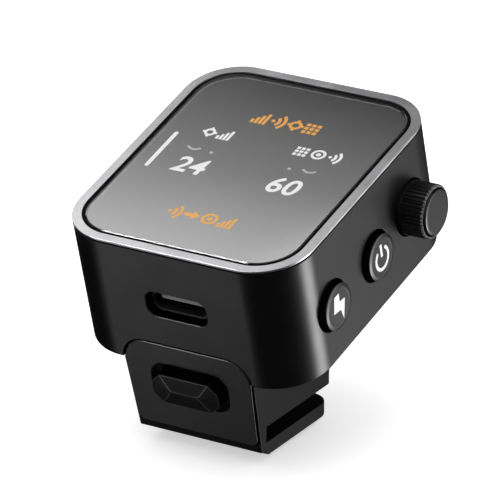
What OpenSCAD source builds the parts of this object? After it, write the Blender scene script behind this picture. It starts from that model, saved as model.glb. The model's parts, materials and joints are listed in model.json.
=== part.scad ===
// Wireless flash trigger for a camera's accessory shoe.
// The foot stands level, with the origin at the middle of its underside.
// +Y is the way the foot slides into the shoe, and the casing leans back on it by a fixed angle.

/* [Casing] */
// Width of the casing across the screen
body_w = 36.0; // [33.5:0.5:46]
// Depth of the casing along the screen
body_d = 42.6; // [41:0.5:56]
// Height of the casing, from the rim's top to the sole
body_h = 19.3; // [18.5:0.5:26]
// Radius of the casing's four upright corners
corner_r = 7.45; // [5:0.05:9]
// Thickness of the casing's walls
wall_t = 1.5; // [1.3:0.1:2]
// Thickness of the casing's floor
floor_t = 1.5; // [1.2:0.1:2]
// Backward lean of the casing on its foot, in degrees
lean = 15; // [5:1:20]

/* [Rim and glass] */
// Width of the metal rim seen from above
rim_w = 1.33; // [1:0.05:1.4]
// Height of the rim's visible edge
rim_edge = 0.34; // [0.3:0.02:0.5]
// Height of the shadow line under the rim
seam_h = 0.24; // [0.15:0.01:0.4]
// Distance from the casing's outline to the cover glass
glass_inset = 1.85; // [1.7:0.05:2.1]
// Thickness of the cover glass
glass_t = 0.8; // [0.6:0.05:1]
// Width of the display module
display_w = 30.07; // [24:0.01:30.2]
// Length of the display module
display_d = 37.43; // [30:0.01:37.5]
// Thickness of the display module
display_t = 1.56; // [1.2:0.01:2]

/* [Side controls] */
// Radius of a push button's cap
cap_r = 3.29; // [2.8:0.01:3.4]
// Height of a cap above the side wall
cap_proud = 1.06; // [0.6:0.01:1.5]
// Gap round a cap in its hole
cap_gap = 0.39; // [0.15:0.01:0.45]
// Travel of a push button
key_travel = 0.35; // [0.2:0.05:0.35]
// Distance of the front button from the casing's front
flash_key_y = 9.89; // [9.5:0.01:10.2]
// Distance of the rear button from the casing's front
mode_key_y = 21.62; // [19:0.01:21.7]
// Depth of both buttons' centres below the rim
key_z = -10.80; // [-11.5:0.01:-9.5]
// Radius of the dial
dial_r = 3.79; // [3:0.01:4.2]
// Height of the dial's knurled edge above the side wall
dial_proud = 3.75; // [2.5:0.01:5]
// Radius of the dial's end disc
disc_r = 3.18; // [2.4:0.01:3.3]
// Height of the end disc above the knurled edge
disc_proud = 0.42; // [0.1:0.01:0.8]
// Number of grooves in the knurl
knurl_n = 44; // [18:1:50]
// Distance of the dial from the casing's front
dial_y = 31.79; // [31.6:0.01:32.2]
// Depth of the dial's axis below the rim
dial_z = -9.66; // [-10.2:0.01:-9.2]
// Travel of the dial when pressed
dial_travel = 0.4; // [0.2:0.05:0.4]

/* [Charging port] */
// Width of the opening for the charging plug
port_w = 9.28; // [9.1:0.01:10.5]
// Height of the opening for the charging plug
port_h = 4.0; // [3.5:0.01:4.6]
// Depth of the port's axis below the rim
port_z = -9.0; // [-9.6:0.1:-8.4]
// Distance of the socket's mouth behind the front
socket_set_back = 1.1; // [0.3:0.1:1.4]

/* [Foot] */
// Width of the shoe plate
plate_w = 18.6; // [18.3:0.05:18.6]
// Length of the shoe plate
plate_l = 18.0; // [17.5:0.1:20]
// Thickness of the shoe plate
plate_t = 2.0; // [1.8:0.05:2]
// Width of the neck that passes between the shoe's rails
neck_w = 12.4; // [11:0.1:12.4]
// Height of the slot for the shoe's rails
slot_h = 2.65; // [2.4:0.05:3.5]
// Distance from the foot's middle to the far face of the block
block_back = 7.9; // [7.6:0.1:8.5]
// Half width of the block at the casing's sole
block_half = 10.1; // [9.9:0.05:11]
// Half width of the block at the shoe plate
block_half_low = 9.65; // [9.4:0.05:10]
// Height of the sole's front edge above the foot's underside
sole_front_z = 12.10; // [11.6:0.05:14]
// Distance of the sole's front edge ahead of the foot's middle
sole_front_y = 13.35; // [13:0.05:14]

/* [Foot cover and release] */
// Thickness of the foot cover
cover_t = 1.1; // [0.9:0.05:1.3]
// Width of the seam round the foot cover
cover_seam = 0.14; // [0.1:0.01:0.2]
// Height of the cover's tab above the casing's sole
tab_rise = 3.48; // [3:0.01:4.5]
// Length of the cover below the casing's sole
cover_drop = 10.2; // [9.5:0.05:10.4]
// Width of the release button
release_w = 10.33; // [9:0.01:10.5]
// Height of the release button
release_h = 4.55; // [4:0.01:4.6]
// Height of the release button's rim above the cover
release_proud = 1.35; // [0.8:0.05:1.8]
// Distance of the release button's axis below the sole
release_drop = 2.77; // [2.7:0.01:2.9]
// Gap round the release button
release_gap = 0.6; // [0.4:0.05:0.65]
// Travel of the release button
release_travel = 1.3; // [1:0.05:1.3]
// Lift of the lock pin over the button's whole travel
pin_lift = 1.1; // [0.8:0.05:1.1]

/* [Shoe contacts] */
// Distance of the lock pin ahead of the foot's middle
pin_y = 3.8; // [3.6:0.05:4.0]
// Radius of the lock pin in its guide
pin_r = 1.1; // [0.9:0.05:1.2]
// Radius of the large middle contact
centre_tip_r = 1.1; // [0.9:0.05:1.2]
// Radius of a small data contact
data_tip_r = 0.75; // [0.5:0.05:0.8]
// Height that a free contact stands out of the plate, which is all of its travel
contact_proud = 0.55; // [0.4:0.05:0.6]

/* [Hidden] */

$fn = 64;
eps = 0.01;
far = 60;

// Clearances: running fits, ends of travel, a driven screw's thread, flat faces that only meet
run_gap = 0.05;
stop_gap = 0.1;
thread_gap = 0.02;

// Levels below the rim's top, in the casing's own frame
seam_top = -rim_edge;
shell_top = -(rim_edge + seam_h);
lip_h = 0.8;
lip_t = 1.0;
lip_z = shell_top - lip_h;
ledge_skirt = 1.6;
glass_bed = 0.2;
ledge_z = -(glass_t + glass_bed);
ledge_low_z = ledge_z - ledge_skirt;
ledge_inset = 2.45;
seam_inset = 0.35;
gasket_top = -0.3;
floor_z = -body_h + floor_t;
bond_t = 0.03;
display_low_z = -glass_t - bond_t - display_t;
display_gap = 0.2;
display_r = corner_r - ledge_inset - display_gap;

// Boards and what stands on them
socket_w = 8.94;
socket_h = 3.26;
socket_l = 7.3;
socket_t = 0.3;
port_corner_r = 1.42;
socket_back_t = 0.5;
tongue_w = 6.69;
tongue_t = 0.7;
tongue_back = 0.9;
tongue_base = [7.0, 1.1, 2.0];
board_t = 1.0;
board_z = port_z - socket_h / 2;
board_low_z = board_z - board_t;
board_right = 9.0;
board_gap = 0.5;
board_left = -body_w / 2 + wall_t + board_gap;
side_x = body_w / 2 - 8.5;
side_t = 1.0;
side_face = side_x + side_t;
rail_t = 0.8;
rail_h = 2.3;
rail_y = [6.5, body_d - 6.5];
side_over = 1.5;
side_top_z = -4.0;
side_foot_z = floor_z + 0.8;
wall_x = body_w / 2 - wall_t;
board_bosses = [for (x = [-12.5, 6.5]) for (y = [5.5, body_d - 5.5]) [x, y]];
boss_r = 1.9;
boss_solid_h = 1.5;
board_screw_r = 0.7;
board_screw_l = 4.2;
board_head_r = 1.3;
board_head_h = 0.7;
shield_size = [10, 12, 2.0];
shield_at = [-14, 21];
shield_wall = 0.25;
battery_size = [24, 20.5, 4.5];
battery_at = [-15.5, 14];
battery_rib_x = [-12.5, 2.5];
battery_rib_h = 1.1;
rib_t = 1.0;
rib_set_in = 0.5;
battery_r = 1.5;
battery_z = floor_z + battery_rib_h;
plug_size = [4, 2.5, 2.4];
plug_at = [-10, 9.5];
lead_r = 0.45;
ribbon_socket = [8.8, 2.6, 1.0];
ribbon_socket_x = -5.4;
lead_x = [-8.8, -7.2];

// Buttons
flange_r = cap_r + 0.81;
flange_t = 0.75;
flange_x = wall_x - 0.35;
key_hole_r = cap_r + cap_gap;
switch_size = 4.5;
switch_top_x = side_face + 3.6;
plunger_r = 1.2;
plunger_hole_r = plunger_r + run_gap;
plunger_in = 1.4;
cap_back_x = flange_x - flange_t;

// Dial
shaft_r = 1.5;
shaft_in_x = side_face + 1.3;
shaft_out_x = body_w / 2 + 2.2;
bushing_r = 3.0;
bushing_x = wall_x - 0.15;
encoder_size = 11;
encoder_t = 4.5;
encoder_back = 0.2;
dial_back_x = wall_x + 0.5;
dial_gap = 0.26;
dial_hole_r = dial_r + dial_gap;
dial_face_x = body_w / 2 + dial_proud;
dial_cup_r = disc_r + 0.25;
dial_cup_depth = 1.3;
knurl_depth = 0.18;
knurl_cut_r = 0.22;
knurl_start = 0.45;

// Foot, in the level frame
slot_z = plate_t + slot_h;
block_floor_z = slot_z + 1.55;
block_wall = 1.6;
block_far_wall = 1.2;
block_front = 0.3;
block_corner_r = 1.5;
block_cavity_half = 8.3;
block_column_r = 1.5;
block_inner_y = cover_t + run_gap + block_wall;
skirt_z = 1.05;
foot_front = -plate_l / 2 - 0.1;
foot_back = plate_l / 2 - 0.05;
neck_set_in = 0.6;
plate_corner_r = 2.9;
cover_half = block_half - 0.3;
cover_half_low = block_half_low - 0.3;
tab_r = 3.6;
cover_low_r = 1.0;
cover_peg = [7.4, -body_h - cover_drop + 3.2];
cover_peg_r = 0.8;
cover_peg_l = 1.4;

// Release slider, in the casing's frame
release_z = -body_h - release_drop;
release_cut = 1.35;
flange_half = 6.5;
flange_low = 2.1;
flange_gap = 0.2;
flange_high = release_drop - 0.3;
release_flange_y = cover_t + 0.12;
release_flange_t = 0.8;
stem_half = 2.0;
stem_low = 1.15;
stem_high = 1.05;
fork_gap = 1.3;
fork_half = 2.3;
fork_low = 1.1;
fork_high = 2.0;
fork_reach = 0.95;
fork_depth = 3.0;
fork_root = 1.2;
bar_r = 0.5;
bar_half = 2.2;
saddle_y = [3.6, 5.6];
saddle_half = 3.4;

// Where the lock pin's bar crosses the slider
pin_bar_z = sole_front_z
  + ((release_z + body_h) + (pin_y + sole_front_y) * sin(lean)) / cos(lean);
bar_y = (pin_y + sole_front_y) * cos(lean) + (pin_bar_z - sole_front_z) * sin(lean);
cam_dy = pin_lift * sin(lean) - release_travel;
cam_dz = pin_lift * cos(lean);
pin_tip_r = pin_r - 0.1;
pin_top_r = 0.8;
bar_cover = 0.9;
collar_r = 1.7;
collar_t = 1.0;
collar_z = block_floor_z + 0.05;
bridge_z = 10.6;
bridge_t = 0.8;
bridge_y = pin_y - 2.2;
lock_coil_r = 1.3;
lock_wire_r = 0.16;

// Shoe contacts
contact_at = [[0, 0], [-4.2, -1.6], [4.2, -1.6], [-2.1, -4.9], [2.1, -4.9]];
contact_seat_z = 1.0;
contact_body_z = 4.4;
contact_rod_r = 0.4;
contact_rod_l = 0.7;
shoulder = 0.35;
contact_board_z = block_floor_z + 1.7;
contact_board_t = 0.8;
contact_board_half = 5.6;
contact_board_y = [-6.2, 1.9];
contact_pegs = [for (x = [-4.9, 4.9]) for (y = [-5.4, 1.1]) [x, y]];
peg_r = 0.45;
peg_seat_r = 0.8;
peg_head_h = 0.35;
coil_wire_r = 0.12;
coil_gap = 0.02;
coil_turns = 4;
shoe_screw_at = [for (x = [-4.6, 4.6]) for (y = [-7.4, 4.0]) [x, y]];
shoe_screw_r = 0.75;
shoe_hole_z = 0.9;
shoe_head_r = 1.2;
shoe_head_h = 0.8;
foot_screw_at = [for (x = [-7.2, 7.2]) for (y = [10.0, 19.0]) [x, y]];
foot_screw_r = 0.8;
foot_head_r = 1.35;
foot_head_h = 0.8;
foot_screw_l = 4.6;
ribbon_x = [2.6, 5.2];
ribbon_y = 10.5;
ribbon_t = 0.2;
ribbon_gap = 0.4;

graphite = [0.17, 0.17, 0.17];
jet = [0.09, 0.09, 0.09];
rim_grey = [0.72, 0.72, 0.73];
glass_grey = [0.30, 0.30, 0.31];
key_grey = [0.28, 0.28, 0.28];
board_green = [0.05, 0.28, 0.16];
gold = [0.85, 0.68, 0.33];
steel = [0.72, 0.73, 0.75];

// Places its children in the casing's leaning frame: x across, y back from the front, z up from the rim
module in_casing() {
  translate([0, -sole_front_y, sole_front_z])
    rotate([lean, 0, 0])
      translate([0, 0, body_h])
        children();
}

// Rectangle with round corners, its near left corner at the given inset from the casing's outline
module outline(inset) {
  r = corner_r - inset;
  x = body_w / 2 - inset;
  y0 = inset;
  y1 = body_d - inset;
  translate([-x, y0 + r]) square([2 * x, y1 - y0 - 2 * r]);
  translate([-x + r, y0]) square([2 * (x - r), y1 - y0]);
  for (sx = [-1, 1])
    for (y = [y0 + r, y1 - r])
      translate([sx * (x - r), y]) circle(r);
}

// Solid of the casing's outline between two levels
module slab(inset, z0, z1) {
  translate([0, 0, z0]) linear_extrude(z1 - z0) outline(inset);
}

// Ring between two insets and two levels
module ring(inset_out, inset_in, z0, z1) {
  difference() {
    slab(inset_out, z0, z1);
    slab(inset_in, z0 - 1, z1 + 1);
  }
}

// Centred rectangle with round corners
module round_rect(w, h, r) {
  square([w, h - 2 * r], center = true);
  square([w - 2 * r, h], center = true);
  for (sx = [-1, 1])
    for (sy = [-1, 1])
      translate([sx * (w / 2 - r), sy * (h / 2 - r)]) circle(r);
}

// Extrudes a shape drawn in x and z from depth y0 to depth y1
module along_y(y0, y1) {
  translate([0, y1, 0]) rotate([90, 0, 0]) linear_extrude(y1 - y0) children();
}

// Cylinder along X between two places
module along_x(r, x0, x1) {
  translate([x0, 0, 0]) rotate([0, 90, 0]) cylinder(h = x1 - x0, r = r);
}

// Cylinder along Y between two depths
module along_y_cylinder(r, y0, y1) {
  translate([0, y1, 0]) rotate([90, 0, 0]) cylinder(h = y1 - y0, r = r);
}

// Points of an arc, in degrees, for polygon outlines
function arc(cx, cy, r, a0, a1, n) =
  [for (i = [0:n]) let (a = a0 + (a1 - a0) * i / n) [cx + r * cos(a), cy + r * sin(a)]];

// Outline of the foot cover in x and z, grown by a gap
function cover_points(grow) =
  let (
    top = -body_h + tab_rise + grow,
    low = -body_h - cover_drop - grow,
    half = cover_half + grow,
    half_low = cover_half_low + grow,
    r = tab_r + grow,
    r_low = cover_low_r + grow
  )
  concat(
    arc(half - r, top - r, r, 0, 90, 10),
    arc(-half + r, top - r, r, 90, 180, 10),
    arc(-half_low + r_low, low + r_low, r_low, 180, 270, 6),
    arc(half_low - r_low, low + r_low, r_low, 270, 360, 6)
  );

// Tapering coil spring from z0 up, as one closed sweep
module coil(radius, wire_r, height, turns) {
  sides = 6;
  steps = 12;
  n = turns * steps;
  run = height - 2 * wire_r;
  points = [
    for (i = [0:n])
      for (k = [0:sides - 1])
        let (a = 360 * i / steps, b = 360 * k / sides, r = radius + wire_r * cos(b))
          [r * cos(a), r * sin(a), wire_r + run * i / n + wire_r * sin(b)]
  ];
  walls = [
    for (i = [0:n - 1])
      for (k = [0:sides - 1])
        let (k2 = (k + 1) % sides)
          [i * sides + k, i * sides + k2, (i + 1) * sides + k2, (i + 1) * sides + k]
  ];
  ends = [[for (k = [sides - 1:-1:0]) k], [for (k = [0:sides - 1]) n * sides + k]];
  polyhedron(points, concat(walls, ends));
}

// Pan head with a cross recess and a plain shank, head up, seat at z = 0
module screw(head_r, head_h, shank_r, length) {
  difference() {
    cylinder(h = head_h, r = head_r);
    for (a = [0, 90])
      rotate([0, 0, a])
        translate([-head_r * 0.55, -head_r * 0.13, head_h * 0.45])
          cube([head_r * 1.1, head_r * 0.26, head_h]);
  }
  translate([0, 0, -length]) cylinder(h = length + eps, r = shank_r);
}

// Casing

module housing() {
  color(graphite) in_casing() {
    difference() {
      slab(0, -body_h, shell_top);
      slab(wall_t, floor_z, far);
      slab(lip_t, lip_z, far);
      port_hole();
      for (y = [flash_key_y, mode_key_y]) side_hole(y, key_z, key_hole_r);
      side_hole(dial_y, dial_z, dial_hole_r);
      cover_pocket();
      for (p = foot_screw_at)
        translate([p[0], p[1], -body_h - 1]) cylinder(h = floor_t + 2, r = foot_screw_r + run_gap);
      ribbon_slot();
    }
    board_posts();
    battery_ribs();
    side_rails();
  }
}

module port_hole() {
  translate([0, 0, port_z]) along_y(-1, wall_t + 1) round_rect(port_w, port_h, port_corner_r);
}

module side_hole(y, z, r) {
  translate([0, y, z]) along_x(r, wall_x - 1, body_w / 2 + 1);
}

// Pocket in the casing's front and in the block that the foot cover lies in
module cover_pocket() {
  along_y(-1, cover_t + run_gap) polygon(cover_points(cover_seam));
}

module ribbon_slot() {
  translate([ribbon_x[0] - ribbon_gap, ribbon_y - ribbon_t / 2 - ribbon_gap, -body_h - 1])
    cube([ribbon_x[1] - ribbon_x[0] + 2 * ribbon_gap, ribbon_t + 2 * ribbon_gap, floor_t + 2]);
}

module board_posts() {
  for (p = board_bosses)
    translate([p[0], p[1], floor_z - eps])
      difference() {
        cylinder(h = board_low_z - floor_z + eps, r = boss_r);
        translate([0, 0, boss_solid_h]) cylinder(h = far, r = board_screw_r + thread_gap);
      }
}

module battery_ribs() {
  for (x = battery_rib_x)
    translate([x, battery_at[1] + rib_set_in, floor_z - eps])
      cube([rib_t, battery_size[1] - 2 * rib_set_in, battery_rib_h + eps]);
}

module side_rails() {
  for (x = [side_x - run_gap - rail_t, side_face + run_gap])
    translate([x, rail_y[0], floor_z - eps])
      cube([rail_t, rail_y[1] - rail_y[0], rail_h + eps]);
  translate([side_x - run_gap - eps, rail_y[0], floor_z - eps])
    cube([side_t + 2 * (run_gap + eps), rail_y[1] - rail_y[0], side_foot_z - floor_z + eps]);
}

module bezel_frame() {
  color(rim_grey) in_casing() {
    ring(0, rim_w, seam_top, 0);
    ring(seam_inset, rim_w, shell_top, seam_top + eps);
    ring(lip_t + run_gap, rim_w, ledge_z, shell_top + eps);
    ring(lip_t + run_gap, ledge_inset, lip_z + run_gap, ledge_z);
    ring(wall_t + 2 * run_gap, ledge_inset, ledge_low_z, lip_z + run_gap + eps);
  }
}

module glass_gasket() {
  color(jet) in_casing() {
    ring(rim_w, glass_inset, ledge_z, gasket_top);
    ring(glass_inset - eps, ledge_inset, ledge_z, -glass_t);
  }
}

module cover_glass() {
  color(glass_grey) in_casing() slab(glass_inset, -glass_t, 0);
}

module display_panel() {
  color(jet) in_casing()
    translate([0, body_d / 2, display_low_z]) linear_extrude(display_t)
      round_rect(display_w, display_d, display_r);
}

module display_ribbon() {
  y = body_d - 4.8;
  lap = 3.0;
  w = 8;
  t = 0.2;
  end_z = board_z + ribbon_socket[2] + t;
  color(gold) in_casing()
    translate([ribbon_socket_x + (ribbon_socket[0] - w) / 2, 0, 0]) rotate([90, 0, 90]) linear_extrude(w)
      polygon([
        [y - lap, display_low_z], [y - lap, display_low_z - t], [y, display_low_z - t],
        [y, end_z], [y - lap, end_z], [y - lap, end_z - t], [y + t, end_z - t], [y + t, display_low_z]
      ]);
}

module main_board() {
  color(board_green) in_casing() difference() {
    intersection() {
      slab(wall_t + board_gap, board_low_z, board_z);
      translate([board_left - 1, -1, board_low_z - 1])
        cube([board_right - board_left + 1, body_d + 2, board_t + 2]);
    }
    for (p = board_bosses)
      translate([p[0], p[1], board_low_z - 1]) cylinder(h = board_t + 2, r = board_screw_r + stop_gap);
  }
}

module board_parts() {
  // Each chip's place and size: x, y, width, depth, height
  chips = [[-1.5, 22, 6, 6, 0.9], [-1.5, 30, 4, 3, 0.8], [-12.5, 12, 5, 5, 0.9], [1.5, 13, 4, 4, 1.1]];
  small_part = [0.8, 1.6, 0.6];
  color(jet) in_casing() {
    for (c = chips) translate([c[0], c[1], board_z]) cube([c[2], c[3], c[4]]);
    translate([ribbon_socket_x, body_d - 7.8, board_z]) cube(ribbon_socket);
    for (i = [0:5]) translate([-5.5 + 1.4 * i, 18.5, board_z]) cube(small_part);
  }
}

module board_screws() {
  color(steel) in_casing()
    for (p = board_bosses)
      translate([p[0], p[1], board_z]) screw(board_head_r, board_head_h, board_screw_r, board_screw_l);
}

module rf_shield() {
  color(steel) in_casing()
    translate([shield_at[0], shield_at[1], board_z]) difference() {
      cube(shield_size);
      translate([shield_wall, shield_wall, -1])
        cube([shield_size[0] - 2 * shield_wall, shield_size[1] - 2 * shield_wall,
          shield_size[2] - shield_wall + 1]);
    }
}

// Bent sheet aerial that stands on two feet at the board's rear edge
module antenna() {
  x0 = -10.5;
  size = [12, 0.3, 3.2];
  leg_h = 2.2;
  leg_w = 1.0;
  color(gold) in_casing() translate([x0, body_d - 3.2, board_z]) {
    translate([0, 0, leg_h]) cube(size);
    for (x = [0, 4.0])
      translate([x, 0, 0]) cube([leg_w, size[1], leg_h + eps]);
  }
}

module battery() {
  color([0.62, 0.63, 0.66]) in_casing()
    translate([battery_at[0] + battery_size[0] / 2, battery_at[1] + battery_size[1] / 2, battery_z])
      linear_extrude(battery_size[2]) round_rect(battery_size[0], battery_size[1], battery_r);
}

module battery_plug() {
  color([0.92, 0.9, 0.84]) in_casing()
    translate([plug_at[0], plug_at[1], board_low_z - plug_size[2]]) cube(plug_size);
}

module battery_lead() {
  y0 = plug_at[1] + plug_size[1];
  color([0.7, 0.1, 0.08]) in_casing()
    for (x = lead_x)
      translate([x, battery_at[1], board_low_z - plug_size[2] / 2]) rotate([90, 0, 0])
        cylinder(h = battery_at[1] - y0, r = lead_r, $fn = 24);
}

// Charging port

module usb_shell() {
  color(steel) in_casing()
    translate([0, 0, port_z]) difference() {
      along_y(socket_set_back, socket_set_back + socket_l)
        round_rect(socket_w, socket_h, socket_h / 2 - eps);
      along_y(socket_set_back - 1, socket_set_back + socket_l - socket_back_t)
        round_rect(socket_w - 2 * socket_t, socket_h - 2 * socket_t, socket_h / 2 - socket_t - eps);
    }
}

module usb_tongue() {
  base_y = socket_set_back + socket_l - socket_back_t;
  color(jet) in_casing()
    translate([0, 0, port_z]) {
      along_y(socket_set_back + tongue_back, base_y) square([tongue_w, tongue_t], center = true);
      along_y(base_y - tongue_base[1], base_y)
        square([tongue_base[0], tongue_base[2]], center = true);
    }
}

// Side controls

module side_board() {
  color(board_green) in_casing()
    translate([side_x, rail_y[0] - side_over, side_foot_z])
      cube([side_t, rail_y[1] - rail_y[0] + 2 * side_over, side_top_z - side_foot_z]);
}

module key_switch(y) {
  color(steel) in_casing() translate([0, y, key_z]) difference() {
    translate([side_face, -switch_size / 2, -switch_size / 2])
      cube([switch_top_x - side_face, switch_size, switch_size]);
    along_x(plunger_hole_r, switch_top_x - plunger_in - key_travel - stop_gap, far);
  }
}

module key_plunger(y) {
  color(jet) in_casing() translate([0, y, key_z])
    along_x(plunger_r, switch_top_x - plunger_in, cap_back_x);
}

module key_cap(y) {
  color(key_grey) in_casing() translate([0, y, key_z]) {
    along_x(flange_r, cap_back_x, flange_x);
    along_x(cap_r, flange_x - eps, body_w / 2 + cap_proud);
  }
}

module flash_switch() { key_switch(flash_key_y); }
module mode_switch() { key_switch(mode_key_y); }
module flash_plunger() { key_plunger(flash_key_y); }
module mode_plunger() { key_plunger(mode_key_y); }
module flash_button() { key_cap(flash_key_y); }
module mode_button() { key_cap(mode_key_y); }

module encoder_case() {
  color(steel) in_casing() translate([0, dial_y, dial_z]) difference() {
    union() {
      translate([side_face, -encoder_size / 2, -encoder_size / 2])
        cube([encoder_t, encoder_size, encoder_size]);
      along_x(bushing_r, side_face + encoder_t - eps, bushing_x);
    }
    along_x(shaft_r + run_gap, shaft_in_x - dial_travel - stop_gap, far);
    along_x(plunger_hole_r, side_face + encoder_back, far);
  }
}

module encoder_plunger() {
  color(jet) in_casing() translate([0, dial_y, dial_z])
    along_x(plunger_r, side_face + encoder_back + stop_gap + dial_travel, shaft_in_x);
}

module dial_shaft() {
  color(steel) in_casing() translate([0, dial_y, dial_z]) along_x(shaft_r, shaft_in_x, shaft_out_x);
}

module dial_ring() {
  color(jet) in_casing() translate([0, dial_y, dial_z]) difference() {
    along_x(dial_r, dial_back_x, dial_face_x);
    along_x(dial_cup_r, dial_face_x - dial_cup_depth, far);
    along_x(shaft_r, dial_back_x - 1, shaft_out_x);
    for (i = [0:knurl_n - 1])
      rotate([360 * i / knurl_n, 0, 0])
        translate([0, dial_r + knurl_cut_r - knurl_depth, 0])
          along_x(knurl_cut_r, body_w / 2 + knurl_start, far, $fn = 16);
  }
}

module dial_disc() {
  color(key_grey) in_casing() translate([0, dial_y, dial_z])
    along_x(disc_r, dial_face_x - dial_cup_depth, dial_face_x + disc_proud);
}

// Foot

// Drafted side profile of the block, from the plate up past the sole
module block_profile() {
  above = 12;
  draft = (block_half - block_half_low) / (sole_front_z - plate_t);
  half_top = block_half + draft * above;
  half_skirt = block_half_low - draft * (plate_t - skirt_z);
  top = sole_front_z + above;
  polygon([[-half_skirt, skirt_z], [half_skirt, skirt_z], [half_top, top], [-half_top, top]]);
}

module block_solid() {
  r = block_corner_r;
  intersection() {
    along_y(-far, block_back) block_profile();
    in_casing() translate([-far, block_front, -body_h - far]) cube([2 * far, 2 * far, far]);
    union() {
      translate([-far, -far, slot_z]) cube([2 * far, far + block_back - r, far]);
      translate([r - block_half, -far, slot_z]) cube([2 * (block_half - r), far + block_back, far]);
      for (sx = [-1, 1])
        translate([sx * (block_half - r), block_back - r, slot_z]) cylinder(h = far, r = r);
      translate([-far, -far, skirt_z]) cube([2 * far, far + foot_front, slot_z - skirt_z + eps]);
    }
  }
}

module block_cavity() {
  intersection() {
    translate([-block_cavity_half, -far, block_floor_z])
      cube([2 * block_cavity_half, far + block_back - block_far_wall, far]);
    in_casing() translate([-far, block_inner_y, -body_h - far]) cube([2 * far, 2 * far, far + 1]);
  }
}

module block_fittings() {
  intersection() {
    union() {
      in_casing() for (p = foot_screw_at)
        translate([p[0], p[1], -body_h - far]) cylinder(h = far, r = block_column_r);
      in_casing() release_saddle();
      difference() {
        translate([-block_cavity_half - eps, bridge_y, bridge_z])
          cube([2 * (block_cavity_half + eps), block_back - block_far_wall - bridge_y + eps, bridge_t]);
        translate([0, pin_y, 0]) cylinder(h = far, r = pin_top_r + run_gap);
      }
    }
    translate([-far, -far, block_floor_z - eps]) cube([2 * far, 2 * far, far]);
    block_solid();
  }
  for (p = contact_pegs) translate([p[0], p[1], 0]) {
    translate([0, 0, block_floor_z - eps])
      cylinder(h = contact_board_z - block_floor_z + eps, r = peg_seat_r);
    translate([0, 0, contact_board_z - eps]) cylinder(h = contact_board_t + 2 * eps, r = peg_r);
    translate([0, 0, contact_board_z + contact_board_t]) cylinder(h = peg_head_h, r = peg_seat_r);
  }
}

// Wall across the block with the slot that the release slider's stem runs in
module release_saddle() {
  sole_gap = 0.8;
  stem_gap = 0.1;
  difference() {
    translate([-saddle_half, saddle_y[0], -body_h - far])
      cube([2 * saddle_half, saddle_y[1] - saddle_y[0], far - sole_gap]);
    translate([-stem_half - stem_gap, saddle_y[0] - 1, release_z - stem_low - stem_gap])
      cube([2 * (stem_half + stem_gap), saddle_y[1] - saddle_y[0] + 2, far]);
  }
}

module foot_block() {
  color(graphite) difference() {
    union() {
      difference() {
        block_solid();
        block_cavity();
        in_casing() cover_pocket();
        in_casing() translate([-flange_half - flange_gap, 0, release_z - flange_low - flange_gap])
          cube([2 * (flange_half + flange_gap), block_inner_y + 1, far]);
      }
      block_fittings();
    }
    for (i = [0:len(contact_at) - 1]) floor_hole(contact_at[i], contact_r(i) + run_gap);
    floor_hole([0, pin_y], pin_r + run_gap);
    for (p = shoe_screw_at) floor_hole(p, shoe_screw_r + run_gap);
    in_casing() for (p = foot_screw_at)
      translate([p[0], p[1], -body_h - foot_screw_l]) cylinder(h = far, r = foot_screw_r + thread_gap);
    in_casing() for (sx = [-1, 1])
      translate([sx * cover_peg[0], 0, cover_peg[1]])
        along_y_cylinder(cover_peg_r + run_gap, 0, cover_t + cover_peg_l + flange_gap);
  }
}

// Round hole through the block's floor
module floor_hole(at, r) {
  translate([at[0], at[1], slot_z - 1]) cylinder(h = block_floor_z - slot_z + 2, r = r);
}

function contact_r(i) = (i == 0 ? centre_tip_r : data_tip_r) + shoulder;
function contact_tip_r(i) = i == 0 ? centre_tip_r : data_tip_r;

module shoe_foot() {
  color(graphite) difference() {
    union() {
      plate();
      translate([-neck_w / 2, foot_front, plate_t - eps])
        cube([neck_w, block_back - neck_set_in - foot_front, slot_h + eps]);
    }
    for (i = [0:len(contact_at) - 1])
      translate([contact_at[i][0], contact_at[i][1], 0]) {
        translate([0, 0, -1]) cylinder(h = contact_seat_z + 2, r = contact_tip_r(i) + run_gap);
        translate([0, 0, contact_seat_z]) cylinder(h = far, r = contact_r(i) + run_gap);
      }
    translate([0, pin_y, -1]) cylinder(h = far, r = pin_r + run_gap);
    for (p = shoe_screw_at)
      translate([p[0], p[1], shoe_hole_z]) cylinder(h = far, r = shoe_screw_r + thread_gap);
  }
}

// Shoe plate with round far corners and its near end cut back under the cover
module plate() {
  r = plate_corner_r;
  bevel = 0.5;
  undercut = 1.2;
  intersection() {
    linear_extrude(plate_t) {
      translate([-plate_w / 2, foot_front]) square([plate_w, foot_back - foot_front - r]);
      translate([-plate_w / 2 + r, foot_front]) square([plate_w - 2 * r, foot_back - foot_front]);
      for (sx = [-1, 1]) translate([sx * (plate_w / 2 - r), foot_back - r]) circle(r);
    }
    translate([-plate_w, 0, 0]) rotate([90, 0, 90]) linear_extrude(2 * plate_w)
      polygon([
        [foot_front + undercut, 0], [foot_back - bevel, 0], [foot_back, bevel],
        [foot_back, plate_t + 1], [foot_front, plate_t + 1], [foot_front, skirt_z]
      ]);
  }
}

module shoe_screws() {
  color(steel) for (p = shoe_screw_at)
    translate([p[0], p[1], block_floor_z])
      screw(shoe_head_r, shoe_head_h, shoe_screw_r, block_floor_z - shoe_hole_z - 3 * stop_gap);
}

module foot_screws() {
  color(steel) in_casing() for (p = foot_screw_at)
    translate([p[0], p[1], floor_z])
      screw(foot_head_r, foot_head_h, foot_screw_r, floor_t + foot_screw_l - 4 * stop_gap);
}

module foot_cover() {
  color(graphite) in_casing() {
    difference() {
      along_y(0, cover_t) polygon(cover_points(0));
      translate([0, 0, release_z])
        along_y(-1, cover_t + 1)
          round_rect(release_w + 2 * release_gap, release_h + 2 * release_gap, release_cut + release_gap);
    }
    for (sx = [-1, 1])
      translate([sx * cover_peg[0], 0, cover_peg[1]])
        along_y_cylinder(cover_peg_r, cover_t - eps, cover_t + cover_peg_l);
  }
}

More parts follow.
